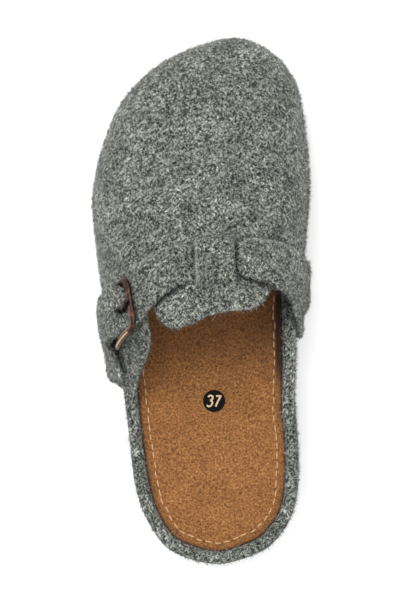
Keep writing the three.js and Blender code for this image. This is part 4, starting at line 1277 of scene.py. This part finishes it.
def rubber_look():
    look = Look("dark_rubber")
    grain = look.noise(0.7, 4.0, 0.7)
    look.color(look.ramp(grain, [(0.3, rgb(44, 43, 41)), (0.7, rgb(68, 66, 62))]))
    wave = look.node("ShaderNodeTexWave", wave_type="BANDS", bands_direction="Y", wave_profile="SIN")
    wave.inputs["Scale"].default_value = 1 / (RIB_PITCH * MM) / math.pi
    look.links.new(look.place, wave.inputs["Vector"])
    look.bump(wave.outputs["Fac"], 0.2, 0.5)
    look.bump(grain, 0.12, 0.6)
    look.rough(look.ramp(look.noise(6, 3.0), [(0.3, (0.6, 0.6, 0.6)), (0.7, (0.85, 0.85, 0.85))]))
    look.set(Specular_IOR_Level=0.35)
    return look.material


def cork_look():
    look = Look("pressed_cork")
    cell = look.node("ShaderNodeTexVoronoi", feature="F1")
    cell.inputs["Scale"].default_value = 1 / (2.4 * MM)
    look.links.new(look.place, cell.inputs["Vector"])
    tones = [(0.2, rgb(120, 82, 48)), (0.5, rgb(168, 124, 80)), (0.8, rgb(196, 154, 106))]
    pores = look.ramp(look.noise(0.8), [(0.35, (0.5, 0.4, 0.32)), (0.6, (1, 1, 1))])
    look.color(look.mix(0.4, look.ramp(cell.outputs["Color"], tones), pores, "MULTIPLY"))
    look.bump(cell.outputs["Distance"], 0.4, 0.6)
    look.set(Roughness=0.9)
    return look.material


# Pieces
def paint(made, material):
    made.data.materials.clear()
    made.data.materials.append(material)


def dress(made, material, slot, *nodes):
    """Gives a piece its material and its body, and hides the nodes it stands for; slot is not used"""
    paint(made, material)
    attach(made, "root")
    if nodes:
        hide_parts(*nodes)
    return made


felt = felt_look("grey_felt")
wool = wool_look()

upper = lumps(make_upper(), seed=21, size=17, height=0.16)
strap = lumps(make_strap(), seed=22, size=13, height=0.12)
quarter = lumps(make_quarter(), seed=23, size=13, height=0.1)
wrap = make_wrap()

# Painted shade in the creases beside strap, seam and slits, and painted highlight on the raised edges
# where light catches them
ON_UPPER, ON_STRAP = FIT + LAYER, FIT + 2 * LAYER  # out of the wall, to the skins of upper and strap
seam_turn = np.linspace(-1, -0.45, 120)
seam = wall_point(throat_y(seam_turn), seam_turn, ON_UPPER)
edges = [
    strap_line((9.2, 12.0), -1.03, ON_UPPER), strap_line((0, 6), 1.03, ON_UPPER),
    strap_line((3.4, 6), -1.03, ON_UPPER), strap_line((10.9, 11.05), 1.06, ON_UPPER + 1, 6),
    strap_line(6.97, (-1.1, 1.1), ON_STRAP), seam,
]
mark(upper, "painted_shade", edges, 1.5)
# Painted highlight on the keeper's edge
mark(upper, "painted_highlight", [strap_line(7.97, (-1.0, 1.15), ON_STRAP - 0.6)], 0.7)
# Painted shade on the quarter along its seam with the upper
mark(quarter, "painted_shade", [seam], 0.9)
# On the strap: painted shade along its middle over the frame and beside the slits, and painted highlight
# along its toe-side edge
over_bar = [strap_line((12.4, 13.2), side, ON_STRAP + LAYER) for side in (-0.1, 0.1)]
mark(strap, "painted_shade", [strap_line(6.9, (-1.1, 1.1), ON_UPPER + 1)] + over_bar, 1.2)
mark(strap, "painted_shade", [strap_line(8.12, (-1.1, 1.1), FIT + FELT)], 1.1, 0.55)
mark(strap, "painted_highlight", [strap_line(rows, 0.97, ON_STRAP) for rows in ((8.3, 11.2), (2.5, 6.6))], 0.8)
# The felt's nap: how many fibres, and from how short to how long
for made, node, count, reach in (
    (upper, "upper", 46000, (0.8, 3.0)),
    (strap, "strap", 14000, (0.8, 2.6)),
    (quarter, "quarter", 7000, (0.8, 2.6)),
    (wrap, "wrap", 26000, (0.8, 2.8)),
):
    dress(made, felt, "felt", node)
    dress(make_nap(node + "_wool", made, count, 40 + count, reach), wool, "felt")

insole = make_insole()
paint_suede_shade(insole)
dress(insole, suede_look(), "suede", "insole")
dress(make_stitches(), thread_look(), "suede")
dress(make_dot(), print_look("black_print", rgb(8, 8, 8), rgb(20, 18, 17)), "suede")
dress(make_number(), print_look("pale_print", rgb(176, 146, 112), rgb(214, 190, 158)), "suede")

buckle = make_frame()
# Painted highlight along the frame's side towards the heel: place across, height, width, strength
highlight_run = np.linspace(-BUCKLE_LENGTH + 4, -5, 60)
for across, height, width, strength in ((1.15, 1.2, 0.4, 1.0), (-0.85, 1.3, 0.3, 0.8)):
    line = buckle_point(highlight_run, across - FRAME_WIDTH / 2, bow_at(highlight_run) + height)
    mark(buckle, "painted_highlight", [line], width, strength)
dress(buckle, metal_look("dark_copper"), "buckle_metal", "buckle_frame")
# The prong's plating at 0.35 of the frame's brightness: painted shade
dress(make_prong(), metal_look("shaded_copper", 0.35), "buckle_metal", "buckle_prong")
dress(make_outsole(), rubber_look(), "sole_rubber", "outsole")
paint(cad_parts["footbed"], cork_look())


# Floor, light and camera, in metres
FLOOR_HALF = 1.6
CAMERA_AT = Vector((0.057, 0.0, 2.0))
CAMERA_TARGET = Vector((0.0, 0.0, 0.04))
FRAME_HEIGHT = 0.29  # seen from top to bottom at the shoe
SENSOR = 36  # millimetres
LIGHTS = [("key", (-0.7, 0.9, 1.6), 1.2, 34), ("fill", (0.9, -0.5, 1.5), 1.4, 9)]  # place, size, watts


def make_floor():
    corners = np.array([(-1, -1, 0), (1, -1, 0), (1, 1, 0), (-1, 1, 0)]) * FLOOR_HALF / MM
    made = mesh_object("floor", corners, [(0, 1, 2, 3)], smooth_faces=False)
    look = Look("pale_floor")
    look.color(look.ramp(look.noise(40, 2.0), [(0.3, (0.93, 0.93, 0.93)), (0.7, (0.95, 0.95, 0.95))]))
    look.set(Roughness=0.9, Specular_IOR_Level=0.1, Emission_Color=(1, 1, 1, 1), Emission_Strength=0.14)
    paint(made, look.material)


def area_light(name, place, size, power):
    light = bpy.data.lights.new(name, "AREA")
    light.shape = "SQUARE"
    light.size = size
    light.energy = power
    made = linked(name, light)
    made.location = place
    made.rotation_euler = (-Vector(place)).to_track_quat("-Z", "Y").to_euler()


def make_camera():
    camera = bpy.data.cameras.new("camera")
    camera.sensor_fit = "AUTO"
    camera.sensor_width = SENSOR
    back = CAMERA_AT - CAMERA_TARGET
    camera.lens = SENSOR * back.length / FRAME_HEIGHT
    camera.clip_start, camera.clip_end = 0.05, 20
    made = linked("camera", camera)
    made.location = CAMERA_AT
    made.rotation_euler = (0, math.atan2(back.x, back.z), 0)
    bpy.context.scene.camera = made


make_floor()
make_camera()
for light in LIGHTS:
    area_light(*light)
world = bpy.data.worlds.new("studio")
bpy.context.scene.world = world
world.use_nodes = True
background = world.node_tree.nodes["Background"].inputs
background["Color"].default_value = (1, 1, 1, 1)
background["Strength"].default_value = 1.0
bpy.context.scene.view_settings.view_transform = "Standard"

bpy.context.view_layer.update()
